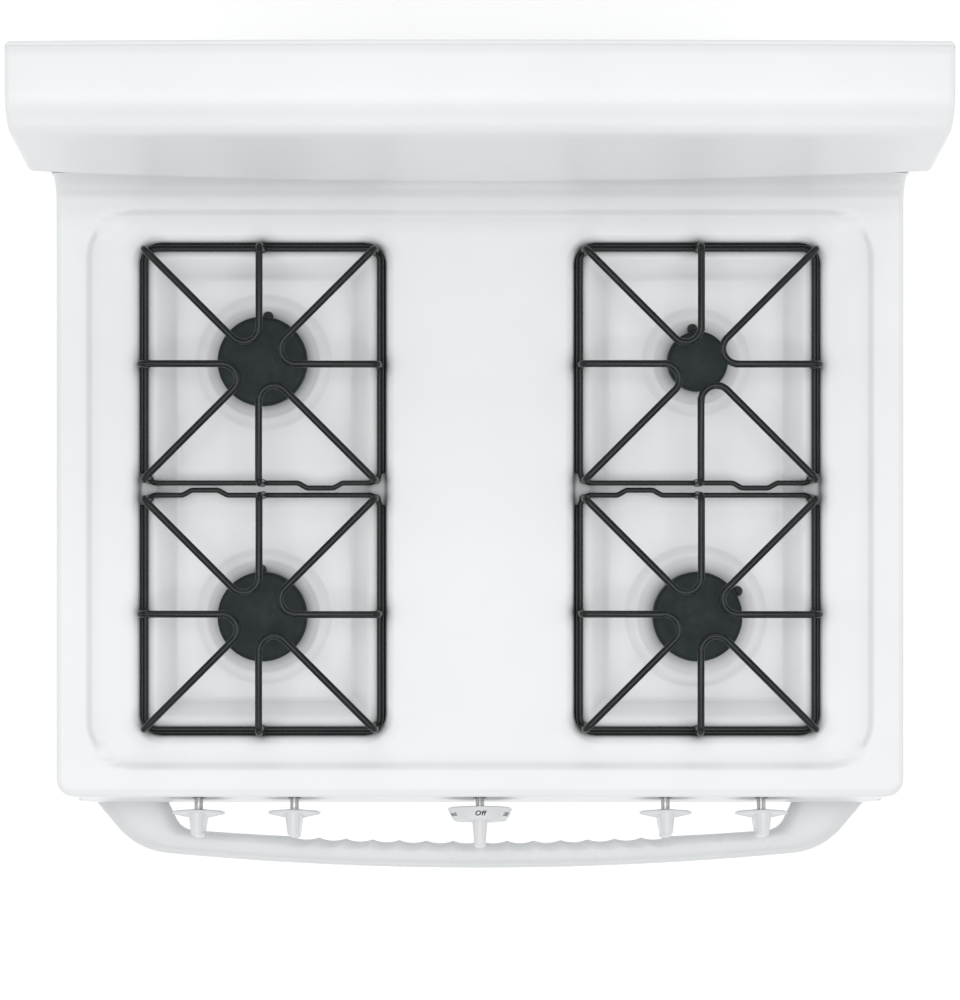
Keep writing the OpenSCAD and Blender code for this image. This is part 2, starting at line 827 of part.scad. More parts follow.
module burner_knob(x) {
    back = 10.5;
    color("whitesmoke") on_panel(x) difference() {
        union() {
            translate([0, 0, back]) cylinder(h = 3, r = 24.25);
            translate([0, 0, back + 3]) cylinder(h = 5, r1 = 23.5, r2 = 14);
            blade(46, 16, 11.5, back + 2, 35.5);
        }
        stem_bore(back);
    }
}

module knob_1() burner_knob(burner_knobs[0]);

module knob_2() burner_knob(burner_knobs[1]);

module knob_3() burner_knob(burner_knobs[2]);

module knob_4() burner_knob(burner_knobs[3]);

module oven_knob() {
    back = 9;
    color("whitesmoke") on_panel(0) difference() {
        union() {
            translate([0, 0, back]) cylinder(h = 12, r1 = 29.75, r2 = 24);
            blade(46, 14.4, 10.4, back + 11, 45);
        }
        stem_bore(back);
    }
}

// ---------- backguard ----------

// The console's closed form, drawn in by inset. Its face leans and bows, and its top is arched.
module console_form(inset) {
    foot_y = riser_y - 11 - console_bow;
    bow_r = (pow(half_w, 2) + pow(console_bow, 2)) / (2 * console_bow);
    arch_r = (pow(half_w, 2) + pow(console_arch, 2)) / (2 * console_arch);
    intersection() {
        block([-half_w + inset, foot_y - 5, console_z + inset],
            [half_w - inset, rear_y + (inset > 0 ? 1 : 0), console_top_z + console_arch + 1]);
        // the leaning, bowed face
        translate([0, foot_y, console_z]) rotate([-console_lean, 0, 0]) translate([0, bow_r, -60])
            cylinder(h = 300, r = bow_r - inset, $fn = 720);
        // the eased edge between the face and the roof
        translate([0, foot_y + 14, console_top_z - 7]) rotate([-48, 0, 0])
            translate([0, bow_r, -300]) cylinder(h = 600, r = bow_r - inset, $fn = 720);
        // the arched top
        translate([0, foot_y - 20, console_top_z + console_arch - arch_r]) rotate([-90, 0, 0])
            cylinder(h = 150, r = arch_r - inset, $fn = 720);
    }
}

module backguard_panel() {
    vent_rows = 3;
    color("white") {
        difference() {
            console_form(0);
            console_form(sheet);
            // the console's floor is open behind the riser
            block([-half_w + sheet, riser_y + sheet, console_z - 1],
                [half_w - sheet, rear_y + 1, console_z + sheet + 1]);
        }
        // the riser, with the oven's vent slots hidden under the console
        difference() {
            block([-half_w, riser_y, rim_z + sweep_r], [half_w, riser_y + sheet, console_z]);
            for (row = [0 : vent_rows - 1], i = [-4 : 4])
                block([i * 12 - 4, riser_y - 1, console_z - 68 + row * 18],
                    [i * 12 + 4, riser_y + 3, console_z - 56 + row * 18]);
        }
        for (x = [-half_w, half_w - sheet])
            block([x, riser_y, skirt_z], [x + sheet, rear_y, console_z]);
    }
}

module backguard_rear() {
    color("silver") difference() {
        intersection() {
            block([-half_w + sheet, back_y - sheet, sweep_top_z - 1],
                [half_w - sheet, back_y, console_top_z + console_arch]);
            union() {
                console_form(sheet);
                block([-half_w, back_y - 5, 0], [half_w, back_y + 1, console_z + 5]);
            }
        }
        screw_holes();
    }
}

// The duct that leads the oven's exhaust up to the riser's slots.
module flue_duct() {
    half = 60;
    t = 1.2;
    liner = liner_back_y + sheet;
    riser = riser_y + sheet;
    low = oven_top_z - 55;
    mouth = console_z - 75;
    duct_front = 300;
    duct_back = 345;
    color("lightgray") difference() {
        along_x(2 * half) polygon([[liner, low], [duct_back, low], [duct_back, console_z - 5],
            [riser, console_z - 5], [riser, mouth], [duct_front, mouth],
            [duct_front, low + 45], [liner, low + 45]]);
        along_x(2 * half - 2 * t) polygon([[liner - 1, low + t], [duct_back - t, low + t],
            [duct_back - t, console_z - 5 - t], [riser - 1, console_z - 5 - t], [riser - 1, mouth + t],
            [duct_front + t, mouth + t], [duct_front + t, low + 45 - t], [liner - 1, low + 45 - t]]);
    }
}

// ---------- door ----------

// The notch that leaves room for a hinge eye, through the door's lower and rear edges.
module hinge_notches() {
    for (side = [-1, 1])
        block([side * hinge_x - hinge_notch / 2, door_front_y + sheet, door_z - 1],
            [side * hinge_x + hinge_notch / 2, door_rear_y + 1, door_z + 44]);
}

// A flat tray with its rim from y0 to y1. Its face is at y0.
module door_tray(half_x, z0, z1, y0, y1, face_first) {
    t = sheet;
    difference() {
        block([-half_x, y0, z0], [half_x, y1, z1]);
        block([-half_x + t, y0 + (face_first ? t : -1), z0 + t],
            [half_x - t, y1 + (face_first ? 1 : -t), z1 - t]);
    }
}

module door_outer_panel() {
    color("white") difference() {
        door_tray(door_half_w, door_z, door_top_z, door_front_y, door_front_y + 18, true);
        translate([0, 0, window_z]) along_y(door_front_y - 1, door_front_y + 5)
            rounded_rect(400, 215, 16);
        hinge_notches();
    }
}

module door_glass() {
    color([0.05, 0.05, 0.06, 0.6]) translate([0, 0, window_z])
        along_y(door_front_y + sheet, door_front_y + sheet + 4) rounded_rect(430, 245, 10);
}

module door_inner_glass() {
    color([0.6, 0.65, 0.65, 0.5]) translate([0, 0, window_z])
        along_y(door_rear_y - sheet - 4, door_rear_y - sheet) rounded_rect(420, 235, 10);
}

module door_liner() {
    color("slategray") difference() {
        door_tray(door_half_w - 1, door_z + 0.5, door_top_z - 1, door_front_y + 18, door_rear_y, false);
        translate([0, 0, window_z]) along_y(door_rear_y - 5, door_rear_y + 1) rounded_rect(380, 195, 16);
        hinge_notches();
    }
}

module door_hinges() {
    color("silver") for (side = [-1, 1]) {
        x = side * hinge_x;
        // two cheeks joined by a web, with the pin between them
        for (cheek = [-8, 5.5])
            block([x + cheek, door_front_y + 3, pivot_z - 6], [x + cheek + 2.5, door_front_y + 24, pivot_z + 74]);
        block([x - 8, door_front_y + sheet, pivot_z + 24], [x + 8, door_front_y + 18, pivot_z + 74]);
        translate([x - 8, pivot_y, pivot_z]) rotate([0, 90, 0]) cylinder(h = 16, r = pin_d / 2);
    }
}

// Half of the handle's outline from above: a bowed bar that turns in to a broad foot at its end.
module handle_half_form(bow_r, bow_y, turn_x, turn_r, turn_angle) {
    turn_y = bow_y + bow_r - sqrt(pow(bow_r, 2) - pow(turn_x, 2));
    start = asin(turn_x / bow_r);
    centre = [turn_x - turn_r * sin(start), turn_y + turn_r * cos(start)];
    bow = [for (i = [0 : 12]) let (x = turn_x * i / 12)
        [x, bow_y + bow_r - sqrt(pow(bow_r, 2) - pow(x, 2))]];
    turn = [for (i = [1 : 8]) let (a = start + (turn_angle - start) * i / 8)
        centre + turn_r * [sin(a), -cos(a)]];
    last = turn[7];
    foot = [last.x + (door_front_y - last.y) / tan(turn_angle), door_front_y];
    polygon(concat(bow, turn, [foot, [0, door_front_y]]));
}

module door_handle() {
    scallops = 7;
    pitch = 25.4;
    scallop_depth = 2.5;
    scallop_r = (pow(pitch / 2, 2) + pow(scallop_depth, 2)) / (2 * scallop_depth);
    color("whitesmoke") translate([0, 0, handle_z - handle_t / 2]) difference() {
        linear_extrude(handle_t) for (m = [0, 1]) mirror([m, 0]) difference() {
            handle_half_form(bow_out_r, handle_front, 296, 70, 50);
            translate([0, 0.01]) handle_half_form(bow_in_r, handle_back, 271, 20, 65);
        }
        // the finger grips
        for (side = [-1, 1], i = [0 : scallops - 1]) {
            x = side * (i + 0.5) * pitch;
            translate([x, handle_back - scallop_depth + scallop_r + x * x / (2 * bow_in_r), -1])
                cylinder(h = handle_t + 2, r = scallop_r);
        }
    }
}

// ---------- drawer and racks ----------

module drawer_front() {
    color("white") {
        difference() {
            door_tray(door_half_w, drawer_z, drawer_top_z, door_front_y, door_front_y + 18, true);
            // the finger notch in the upper edge
            translate([0, 0, drawer_top_z]) along_y(door_front_y - 1, door_front_y + 30)
                rounded_rect(190, 36, 14);
        }
        // brackets onto the tray
        for (side = [-1, 1])
            block([side * 220 - 20, door_front_y + sheet, tray_z + 5], [side * 220 + 20, door_front_y + 18, 110]);
    }
}

module drawer_tray() {
    t = sheet;
    front = door_front_y + 18;
    color("gray") {
        difference() {
            block([-tray_half_w, front, tray_z], [tray_half_w, drawer_back_y, tray_rim_z]);
            block([-tray_half_w + t, front + t, tray_z + t],
                [tray_half_w - t, drawer_back_y - t, tray_rim_z + 1]);
        }
        // the rims that run on the rails
        for (x = [-tray_half_w - 12, tray_half_w])
            block([x, frame_y + frame_t + 2, tray_rim_z - 2], [x + 12, drawer_back_y, tray_rim_z]);
    }
}

// The grid rests on the tray's side rims and leaves a gap at the front and at the back.
module broiler_grid() {
    front = door_front_y + 60;
    columns = 6;
    rows = 12;
    color("darkgray") difference() {
        block([-tray_half_w - 6, front, tray_rim_z], [tray_half_w + 6, drawer_back_y - 45, tray_rim_z + 2.5]);
        for (i = [0 : columns - 1], j = [0 : rows - 1])
            translate([(i - (columns - 1) / 2) * 92, front + 28 + j * 29, tray_rim_z - 1])
                linear_extrude(5) square([70, 7], center = true);
    }
}

module rack(z) {
    front = frame_y + 20;
    back = liner_back_y - 12;
    x = rack_half_w - rack_rod_r;
    level = z - 3 + rack_rod_r + 0.4;
    bars = 13;
    color("silver") {
        for (y = [front, back]) rod([-x, y, level], [x, y, level], rack_rod_r);
        for (side = [-1, 1]) {
            rod([side * x, front, level], [side * x, back, level], rack_rod_r);
            for (y = [front, back]) translate([side * x, y, level]) sphere(rack_rod_r);
        }
        for (i = [1 : bars]) {
            bar_x = -x + 2 * x * i / (bars + 1);
            rod([bar_x, front, level + 4], [bar_x, back, level + 4], 2);
        }
        rod([-x, 0, level], [x, 0, level], 2.5);
    }
}

module low_rack() rack(low_rack_z);

module high_rack() rack(high_rack_z);

// ---------- legs ----------

module leg(x, y) {
    color("black") translate([x, y, 0]) {
        cylinder(h = 10, r = 20);
        translate([0, 0, 10]) cylinder(h = 8, r = 11, $fn = 6);
    }
    color("silver") translate([x, y, 10]) cylinder(h = base_z + rail_h - 2, r = leg_r);
}

module leg_front_left() leg(-leg_x, leg_front_y);

module leg_front_right() leg(leg_x, leg_front_y);

module leg_rear_left() leg(-leg_x, leg_rear_y);

module leg_rear_right() leg(leg_x, leg_rear_y);

// ---------- the whole range ----------

base_frame();
left_side_panel();
right_side_panel();
rear_cover();
front_frame();
oven_liner();
oven_floor();
oven_insulation();
door_gasket();
flame_spreader();
oven_burner();
oven_igniter();
gas_safety_valve();
gas_manifold();
pressure_regulator();
burner_valves();
oven_thermostat();
spark_module();
cooktop();
burner_heads();
spark_electrodes();
supply_tubes();
control_panel();
backguard_panel();
backguard_rear();
flue_duct();
cover_screws();
door_outer_panel();
door_glass();
door_inner_glass();
door_liner();
door_handle();
door_hinges();
drawer_front();
drawer_tray();
broiler_grid();
low_rack();
high_rack();
stem_1();
stem_2();
stem_3();
stem_4();
oven_stem();
knob_1();
knob_2();
knob_3();
knob_4();
oven_knob();
grate_rear_left();
grate_rear_right();
grate_front_left();
grate_front_right();
cap_rear_left();
cap_rear_right();
cap_front_left();
cap_front_right();
leg_front_left();
leg_front_right();
leg_rear_left();
leg_rear_right();
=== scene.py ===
"""A white freestanding gas range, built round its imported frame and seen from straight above.

Everything is in metres in the range's own frame: +Z up, the door faces -Y, the floor is z = 0.
"""
import json
import math

import bmesh
import bpy
import numpy as np
from mathutils import Matrix, Vector


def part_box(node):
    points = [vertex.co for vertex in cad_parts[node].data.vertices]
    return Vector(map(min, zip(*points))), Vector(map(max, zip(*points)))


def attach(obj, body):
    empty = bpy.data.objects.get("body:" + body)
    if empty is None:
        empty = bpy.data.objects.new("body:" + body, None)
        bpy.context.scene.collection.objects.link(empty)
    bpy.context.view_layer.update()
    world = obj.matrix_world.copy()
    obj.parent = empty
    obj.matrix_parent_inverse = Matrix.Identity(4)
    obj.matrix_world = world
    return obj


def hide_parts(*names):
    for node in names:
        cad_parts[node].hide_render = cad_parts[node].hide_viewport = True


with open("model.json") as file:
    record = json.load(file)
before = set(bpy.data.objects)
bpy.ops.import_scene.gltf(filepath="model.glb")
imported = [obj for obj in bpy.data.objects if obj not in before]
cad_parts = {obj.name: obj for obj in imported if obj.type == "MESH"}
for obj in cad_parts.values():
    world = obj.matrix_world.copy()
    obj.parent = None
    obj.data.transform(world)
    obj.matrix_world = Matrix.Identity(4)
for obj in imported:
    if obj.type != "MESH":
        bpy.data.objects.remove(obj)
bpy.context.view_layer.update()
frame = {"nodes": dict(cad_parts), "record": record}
MM = 0.001


# ---- driving sizes, from the frame
def low(node):
    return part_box(node)[0]


def high(node):
    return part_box(node)[1]


HALF_W = high("cooktop").x
FRONT_Y = low("cooktop").y
REAR_Y = high("backguard_panel").y
TOP_Z = high("backguard_panel").z
CAPS = {name: (low(name) + high(name)) / 2 for name in frame["nodes"] if name.startswith("cap_")}
CAP_R = {name: (high(name).x - low(name).x) / 2 for name in CAPS}
GRATES = [name for name in frame["nodes"] if name.startswith("grate_")]

MOUNTS = {mount["name"]: mount for mount in frame["record"]["mounts"]}
SURFACE_Z = MOUNTS["cooktop_surface"]["pos_m"][2]
RIM_H = 3.5 * MM  # the rim above the flat surface
RIM_Z = SURFACE_Z + RIM_H
SKIRT = 21.5 * MM  # depth of the cooktop's skirt
SKIRT_Z = RIM_Z - SKIRT
RECESS = (351 * MM, 248.6 * MM, 41 * MM)  # rim step: half width, half depth, corner radius
WELL_X = (CAPS["cap_front_right"].x - CAPS["cap_front_left"].x) / 2 - 0.3 * MM
WELL = (111 * MM, 222 * MM, 20 * MM)  # well: half width, half depth, corner radius
LEDGE_Z = SURFACE_Z - 10 * MM  # the ledge that carries the grates
WELL_Z = SURFACE_Z - 26 * MM  # the floor of a well
SWEEP_R = 25 * MM  # the cooktop's swept-up rear edge
SWEEP_Y = REAR_Y - 103.5 * MM
SWEEP_TOP = 950 * MM
CONSOLE_Z = 1060 * MM  # the console's lower edge


# ---- small helpers
def smooth(t):
    """A soft step from 0 to 1."""
    t = np.clip(t, 0.0, 1.0)
    return t * t * (3 - 2 * t)


def unit(v):
    return v / np.linalg.norm(v)


def new_piece(name, verts, faces, body, look, replaces=(), flat=40, slot=None):
    """A mesh piece that rides on a body. Edges sharper than flat degrees stay sharp."""
    mesh = bpy.data.meshes.new(name)
    mesh.from_pydata([tuple(v) for v in verts], [], [tuple(f) for f in faces])
    mesh.validate()
    obj = bpy.data.objects.new(name, mesh)
    bpy.context.scene.collection.objects.link(obj)
    clean(obj)
    shade(obj, flat)
    obj.data.materials.append(LOOKS[look])
    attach(obj, body)
    slot or look
    if replaces:
        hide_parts(*replaces)
    return obj


def clean(obj, distance=0.02 * MM):
    """Joins doubled corners and turns every face outwards."""
    bm = bmesh.new()
    bm.from_mesh(obj.data)
    bmesh.ops.remove_doubles(bm, verts=bm.verts, dist=distance)
    bmesh.ops.dissolve_degenerate(bm, dist=distance / 2, edges=bm.edges)
    bmesh.ops.recalc_face_normals(bm, faces=bm.faces)
    bm.to_mesh(obj.data)
    bm.free()


def shade(obj, flat):
    """Smooth shading, broken at edges sharper than flat degrees."""
    bm = bmesh.new()
    bm.from_mesh(obj.data)
    limit = math.radians(flat)
    for face in bm.faces:
        face.smooth = True
    for edge in bm.edges:
        edge.smooth = len(edge.link_faces) == 2 and edge.calc_face_angle(0.0) < limit
    bm.to_mesh(obj.data)
    bm.free()


def grid_faces(rows, columns, close_rows=False, close_columns=False):
    """Quads of a grid of points that is numbered row by row."""
    faces = []
    for i in range(rows if close_rows else rows - 1):
        for j in range(columns if close_columns else columns - 1):
            a, b = i * columns, (i + 1) % rows * columns
            k = (j + 1) % columns
            faces.append((a + j, a + k, b + k, b + j))
    return faces


def merge(*parts):
    """Puts several (points, faces) together."""
    verts, faces = [], []
    for points, polygons in parts:
        faces += [tuple(len(verts) + i for i in face) for face in polygons]
        verts += [tuple(p) for p in points]
    return verts, faces


def lathe(profile, sides=64):
    """A closed profile of (radius, height) turned about Z. A radius of 0 makes a pole."""
    verts = []
    for k in range(sides):
        a = 2 * math.pi * k / sides
        verts += [(r * math.cos(a), r * math.sin(a), z) for r, z in profile]
    n = len(profile)
    faces = [(k * n + i, (k + 1) % sides * n + i, (k + 1) % sides * n + i + 1, k * n + i + 1)
             for k in range(sides) for i in range(n - 1)]
    return verts, faces


def rounded(points, radius, steps=6):
    """A path whose inner corners are replaced by arcs."""
    points = [np.array(p, float) for p in points]
    out = [points[0]]
    for i in range(1, len(points) - 1):
        a, b = unit(points[i - 1] - points[i]), unit(points[i + 1] - points[i])
        half = math.acos(np.clip(np.dot(a, b), -1, 1)) / 2
        if half > math.radians(89):
            out.append(points[i])
            continue
        reach = radius / math.tan(half)
        centre = points[i] + unit(a + b) * radius / math.sin(half)
        p, q = points[i] + a * reach - centre, points[i] + b * reach - centre
        angle = math.acos(np.clip(np.dot(unit(p), unit(q)), -1, 1))
        for s in range(steps + 1):
            t = s / steps
            out.append(centre + (math.sin((1 - t) * angle) * p + math.sin(t * angle) * q) / math.sin(angle))
    out.append(points[-1])
    return out


def tube(path, radius, sides=16, closed=False):
    """A round tube along a path, with mitred bends and domed ends."""
    path = [np.array(p, float) for p in path]
    keep = [path[0]]
    for p in path[1:]:
        if np.linalg.norm(p - keep[-1]) > 1e-6:
            keep.append(p)
    if closed and np.linalg.norm(keep[0] - keep[-1]) < 1e-6:
        keep.pop()
    path, n = keep, len(keep)
    runs = [unit(path[(i + 1) % n] - path[i]) for i in range(n if closed else n - 1)]
    tangents = []
    for i in range(n):
        if closed:
            tangents.append(unit(runs[i - 1] + runs[i]))
        else:
            tangents.append(unit(runs[max(i - 1, 0)] + runs[min(i, n - 2)]))
    u = unit(np.cross(runs[0], [0, 0, 1.0] if abs(runs[0][2]) < 0.9 else [1.0, 0, 0]))
    verts = []
    for i in range(n):
        u = unit(u - np.dot(u, tangents[i]) * tangents[i])
        v = np.cross(tangents[i], u)
        before = runs[i - 1] if (closed or i) else runs[0]
        stretch = 1 / max(np.dot(before, tangents[i]), 0.5)
        bend = before - np.dot(before, tangents[i]) * tangents[i]
        for k in range(sides):
            a = 2 * math.pi * k / sides
            w = radius * (math.cos(a) * u + math.sin(a) * v)
            if np.linalg.norm(bend) > 1e-4:
                e = unit(bend)
                w = w + np.dot(w, e) * (stretch - 1) * e
            verts.append(path[i] + w)
    faces = grid_faces(n, sides, close_rows=closed, close_columns=True)
    if not closed:
        for end, run, first in ((path[0], -runs[0], 0), (path[-1], runs[-1], (n - 1) * sides)):
            ring = [verts[first + k] for k in range(sides)]
            dome = []
            for depth, width in ((0.5, 0.87), (0.87, 0.5)):
                dome.append(len(verts))
                verts += [end + run * radius * depth + (p - end) * width for p in ring]
            verts.append(end + run * radius)
            loops = [first] + dome
            for a, b in zip(loops, loops[1:]):
                faces += [(a + k, a + (k + 1) % sides, b + (k + 1) % sides, b + k) for k in range(sides)]
            faces += [(loops[-1] + k, loops[-1] + (k + 1) % sides, len(verts) - 1) for k in range(sides)]
    return verts, faces


def rounded_loop(half_x, half_y, radius, arc=8, side=3):
    """Points of a rounded rectangle in its own plane, always the same number for the same arc and side."""
    x, y = half_x - radius, half_y - radius
    centres = [(x, -y), (x, y), (-x, y), (-x, -y)]
    points = []
    for k, (cx, cy) in enumerate(centres):
        for i in range(arc + 1):
            a = math.radians(90 * (k - 1 + i / arc))
            points.append((cx + radius * math.cos(a), cy + radius * math.sin(a)))
        end_x, end_y = points[-1]
        next_x, next_y = centres[(k + 1) % 4]
        points += [(end_x + (next_x - cx) * i / side, end_y + (next_y - cy) * i / side)
                   for i in range(1, side)]
    return points


# ---- materials
LOOKS = {}  # every material by its name


def shader(name, **sockets):
    """A new material with a Principled shader, its sockets set by name with spaces as underscores."""
    mat = LOOKS[name] = bpy.data.materials.new(name)
    mat.use_nodes = True
    bsdf = mat.node_tree.nodes["Principled BSDF"]
    for key, value in sockets.items():
        bsdf.inputs[key.replace("_", " ")].default_value = value
    return mat.node_tree, bsdf


def node(tree, kind, **values):
    """A new shader node, its properties and sockets set by name."""
    made = tree.nodes.new(kind)
    for key, value in values.items():
        if hasattr(made, key):
            setattr(made, key, value)
        else:
            made.inputs[key.replace("_", " ")].default_value = value
    return made


def noise(tree, scale, detail=3.0):
    """A noise pattern over the object's own coordinates. Returns its value socket."""
    where = node(tree, "ShaderNodeTexCoord")
    texture = node(tree, "ShaderNodeTexNoise", Scale=scale, Detail=detail)
    tree.links.new(where.outputs["Object"], texture.inputs["Vector"])
    return texture.outputs["Fac"]


def ramp(tree, value, stops):
    """Colours along a value, as (place, colour) pairs."""
    made = node(tree, "ShaderNodeValToRGB")
    elements = made.color_ramp.elements
    while len(elements) < len(stops):
        elements.new(0.5)
    for element, (place, colour) in zip(elements, stops):
        element.position = place
        element.color = (*colour, 1.0)
    tree.links.new(value, made.inputs["Fac"])
    return made.outputs["Color"]


def spread(tree, value, lowest, highest):
    """A value from 0.3 to 0.7 spread over a range."""
    made = node(tree, "ShaderNodeMapRange", From_Min=0.3, From_Max=0.7, To_Min=lowest, To_Max=highest)
    tree.links.new(value, made.inputs["Value"])
    return made.outputs["Result"]


def relief(tree, bsdf, value, strength, distance):
    """Bump from a height value."""
    made = node(tree, "ShaderNodeBump", Strength=strength, Distance=distance)
    tree.links.new(value, made.inputs["Height"])
    tree.links.new(made.outputs["Normal"], bsdf.inputs["Normal"])


def finish_of(name, dark, light, rough, grain, depth, cloud=6.0, **sockets):
    """A surface with clouded colour and roughness and a fine relief."""
    tree, bsdf = shader(name, **sockets)
    clouds = noise(tree, cloud, 4.0)
    tree.links.new(ramp(tree, clouds, [(0.3, dark), (0.7, light)]), bsdf.inputs["Base Color"])
    tree.links.new(spread(tree, noise(tree, cloud * 7, 5.0), *rough), bsdf.inputs["Roughness"])
    relief(tree, bsdf, noise(tree, grain, 2.0), 0.35, depth)


def painted_corner_shade(name, distance, darkest):
    """Paints shade into a surface's colour where others stand close to it: painted shade in corners and
    recesses.
    """
    tree = LOOKS[name].node_tree
    bsdf = tree.nodes["Principled BSDF"]
    colour = bsdf.inputs["Base Color"].links[0].from_socket
    # painted shade: an ambient-occlusion value darkens the base colour
    near = node(tree, "ShaderNodeAmbientOcclusion", Distance=distance)
    near.samples = 8
    share = ramp(tree, near.outputs["AO"], [(0.2, grey(darkest)), (1.0, grey(1.0))])
    both = node(tree, "ShaderNodeVectorMath", operation="MULTIPLY")
    tree.links.new(colour, both.inputs[0])
    tree.links.new(share, both.inputs[1])
    tree.links.new(both.outputs["Vector"], bsdf.inputs["Base Color"])


def speckled(name, ground, speck, rough, scale):
    """Porcelain enamel with fine pale specks in a dark ground."""
    tree, bsdf = shader(name, Coat_Weight=0.4, Coat_Roughness=0.12)
    specks = ramp(tree, noise(tree, scale, 1.0), [(0.0, ground), (0.62, ground), (0.7, speck)])
    tree.links.new(specks, bsdf.inputs["Base Color"])
    tree.links.new(spread(tree, noise(tree, 40.0), *rough), bsdf.inputs["Roughness"])
    relief(tree, bsdf, noise(tree, 260.0, 2.0), 0.3, 0.00008)


def woven(name, dark, light, scale, depth):
    """A braid or felt of crossing strands."""
    tree, bsdf = shader(name, Roughness=0.95, Sheen_Weight=0.25)
    where = node(tree, "ShaderNodeTexCoord")
    waves = []
    for direction in ("DIAGONAL", "X"):
        wave = node(tree, "ShaderNodeTexWave", Scale=scale, Distortion=1.5, Detail=2.0)
        wave.bands_direction = direction
        tree.links.new(where.outputs["Object"], wave.inputs["Vector"])
        waves.append(wave.outputs["Fac"])
    both = node(tree, "ShaderNodeMath", operation="MULTIPLY")
    tree.links.new(waves[0], both.inputs[0])
    tree.links.new(waves[1], both.inputs[1])
    colour = ramp(tree, noise(tree, scale * 2, 6.0), [(0.3, dark), (0.7, light)])
    tree.links.new(colour, bsdf.inputs["Base Color"])
    relief(tree, bsdf, both.outputs["Value"], 0.8, depth)


def pane(name, tint, rough, weight):
    """Glass with a faint haze."""
    tree, bsdf = shader(name, IOR=1.5, Transmission_Weight=weight, Coat_Weight=0.2)
    tree.links.new(ramp(tree, noise(tree, 3.0), [(0.3, tint), (0.7, tuple(c * 1.1 for c in tint))]),
                   bsdf.inputs["Base Color"])
    tree.links.new(spread(tree, noise(tree, 30.0, 4.0), *rough), bsdf.inputs["Roughness"])
    relief(tree, bsdf, noise(tree, 12.0, 1.0), 0.1, 0.0001)


def grey(value, tint=(1, 1, 1)):
    return tuple(value * c for c in tint)


COOL = (0.985, 1.0, 1.01)
finish_of("white_enamel", grey(0.80, COOL), grey(0.83, COOL), (0.30, 0.36), 240.0, 0.00002,
          Coat_Weight=0.12, Coat_Roughness=0.14)
finish_of("white_plastic", grey(0.70, COOL), grey(0.735, COOL), (0.26, 0.34), 900.0, 0.00003,
          Coat_Weight=0.15, Coat_Roughness=0.2)
finish_of("grate_wire", (0.002, 0.005, 0.005), (0.006, 0.010, 0.010), (0.24, 0.36), 700.0, 0.0001,
          cloud=45.0, Coat_Weight=0.12, Coat_Roughness=0.15, Specular_IOR_Level=0.3)
finish_of("black_enamel", (0.004, 0.011, 0.012), (0.007, 0.016, 0.017), (0.46, 0.58), 1100.0, 0.00008,
          cloud=25.0, Specular_IOR_Level=0.3)
speckled("grey_enamel", (0.030, 0.036, 0.050), (0.30, 0.34, 0.40), (0.22, 0.34), 900.0)
finish_of("galvanized", grey(0.42), grey(0.56, (0.98, 1, 1.02)), (0.32, 0.5), 120.0, 0.00005, cloud=22.0,
          Metallic=0.95)
finish_of("plated_steel", grey(0.42), grey(0.5), (0.22, 0.36), 800.0, 0.00004, cloud=60.0, Metallic=1.0)
finish_of("burner_aluminium", grey(0.46), grey(0.56), (0.38, 0.55), 600.0, 0.0002, cloud=80.0, Metallic=0.9)
finish_of("burner_steel", (0.30, 0.27, 0.24), (0.42, 0.40, 0.38), (0.35, 0.55), 300.0, 0.00008, cloud=15.0,
          Metallic=0.9)
finish_of("gas_brass", (0.46, 0.30, 0.10), (0.58, 0.41, 0.17), (0.28, 0.42), 500.0, 0.00006, cloud=50.0,
          Metallic=1.0)
finish_of("gas_pipe", grey(0.10), grey(0.16), (0.4, 0.6), 350.0, 0.0001, cloud=30.0, Metallic=0.8)
finish_of("black_plastic", grey(0.012), grey(0.022), (0.45, 0.6), 900.0, 0.00006, cloud=50.0)
finish_of("black_ceramic", grey(0.006), grey(0.014), (0.4, 0.6), 600.0, 0.0001, cloud=90.0)
finish_of("white_ceramic", (0.62, 0.58, 0.50), (0.74, 0.71, 0.63), (0.6, 0.8), 700.0, 0.00015, cloud=60.0)
finish_of("rack_chrome", grey(0.62), grey(0.7), (0.08, 0.16), 400.0, 0.00003, cloud=40.0, Metallic=1.0)
woven("fibreglass", (0.60, 0.50, 0.24), (0.76, 0.67, 0.40), 45.0, 0.003)
woven("gasket_braid", (0.10, 0.10, 0.10), (0.22, 0.21, 0.20), 260.0, 0.0008)
pane("dark_glass", (0.012, 0.012, 0.014), (0.03, 0.07), 0.35)
pane("clear_glass", (0.72, 0.78, 0.78), (0.02, 0.05), 0.9)
finish_of("print", grey(0.012), grey(0.02), (0.5, 0.6), 900.0, 0.00002, cloud=200.0)

# painted shade: the white enamel's colour is darkened in wells, steps and corners by ambient occlusion
painted_corner_shade("white_enamel", 0.02, 0.1)


# ---- cooktop
RINGS = {"cap_rear_left": 62 * MM, "cap_rear_right": 50 * MM, "cap_front_left": 62 * MM,
         "cap_front_right": 65 * MM}
PLAN_R = 16 * MM  # corners of the cooktop seen from above
SIDE_ROLL = 5 * MM
FRONT_ROLL = 8 * MM
HOLE_R = 21 * MM
RING_ZONE = 66 * MM  # inside this the mesh lines run as circles round a burner
SQUARE_ZONE = 73 * MM  # outside this they run straight
LIP = 8.5 * MM  # width of the round lip of a well
STEP_IN, STEP_W = 4 * MM, 8.5 * MM  # the rim step's inner edge and width
SLOPE_IN, SLOPE_W = 14 * MM, 19 * MM  # the slope from a well's ledge to its floor
RING_H, RING_W = 5 * MM, 9.5 * MM  # the raised ring round a burner


def outside_of(x, y, half_x, half_y, radius):
    """Signed distance to a rounded rectangle, negative inside."""
    dx, dy = np.abs(x) - (half_x - radius), np.abs(y) - (half_y - radius)
    beyond = np.hypot(np.maximum(dx, 0), np.maximum(dy, 0))
    return beyond + np.minimum(np.maximum(dx, dy), 0) - radius


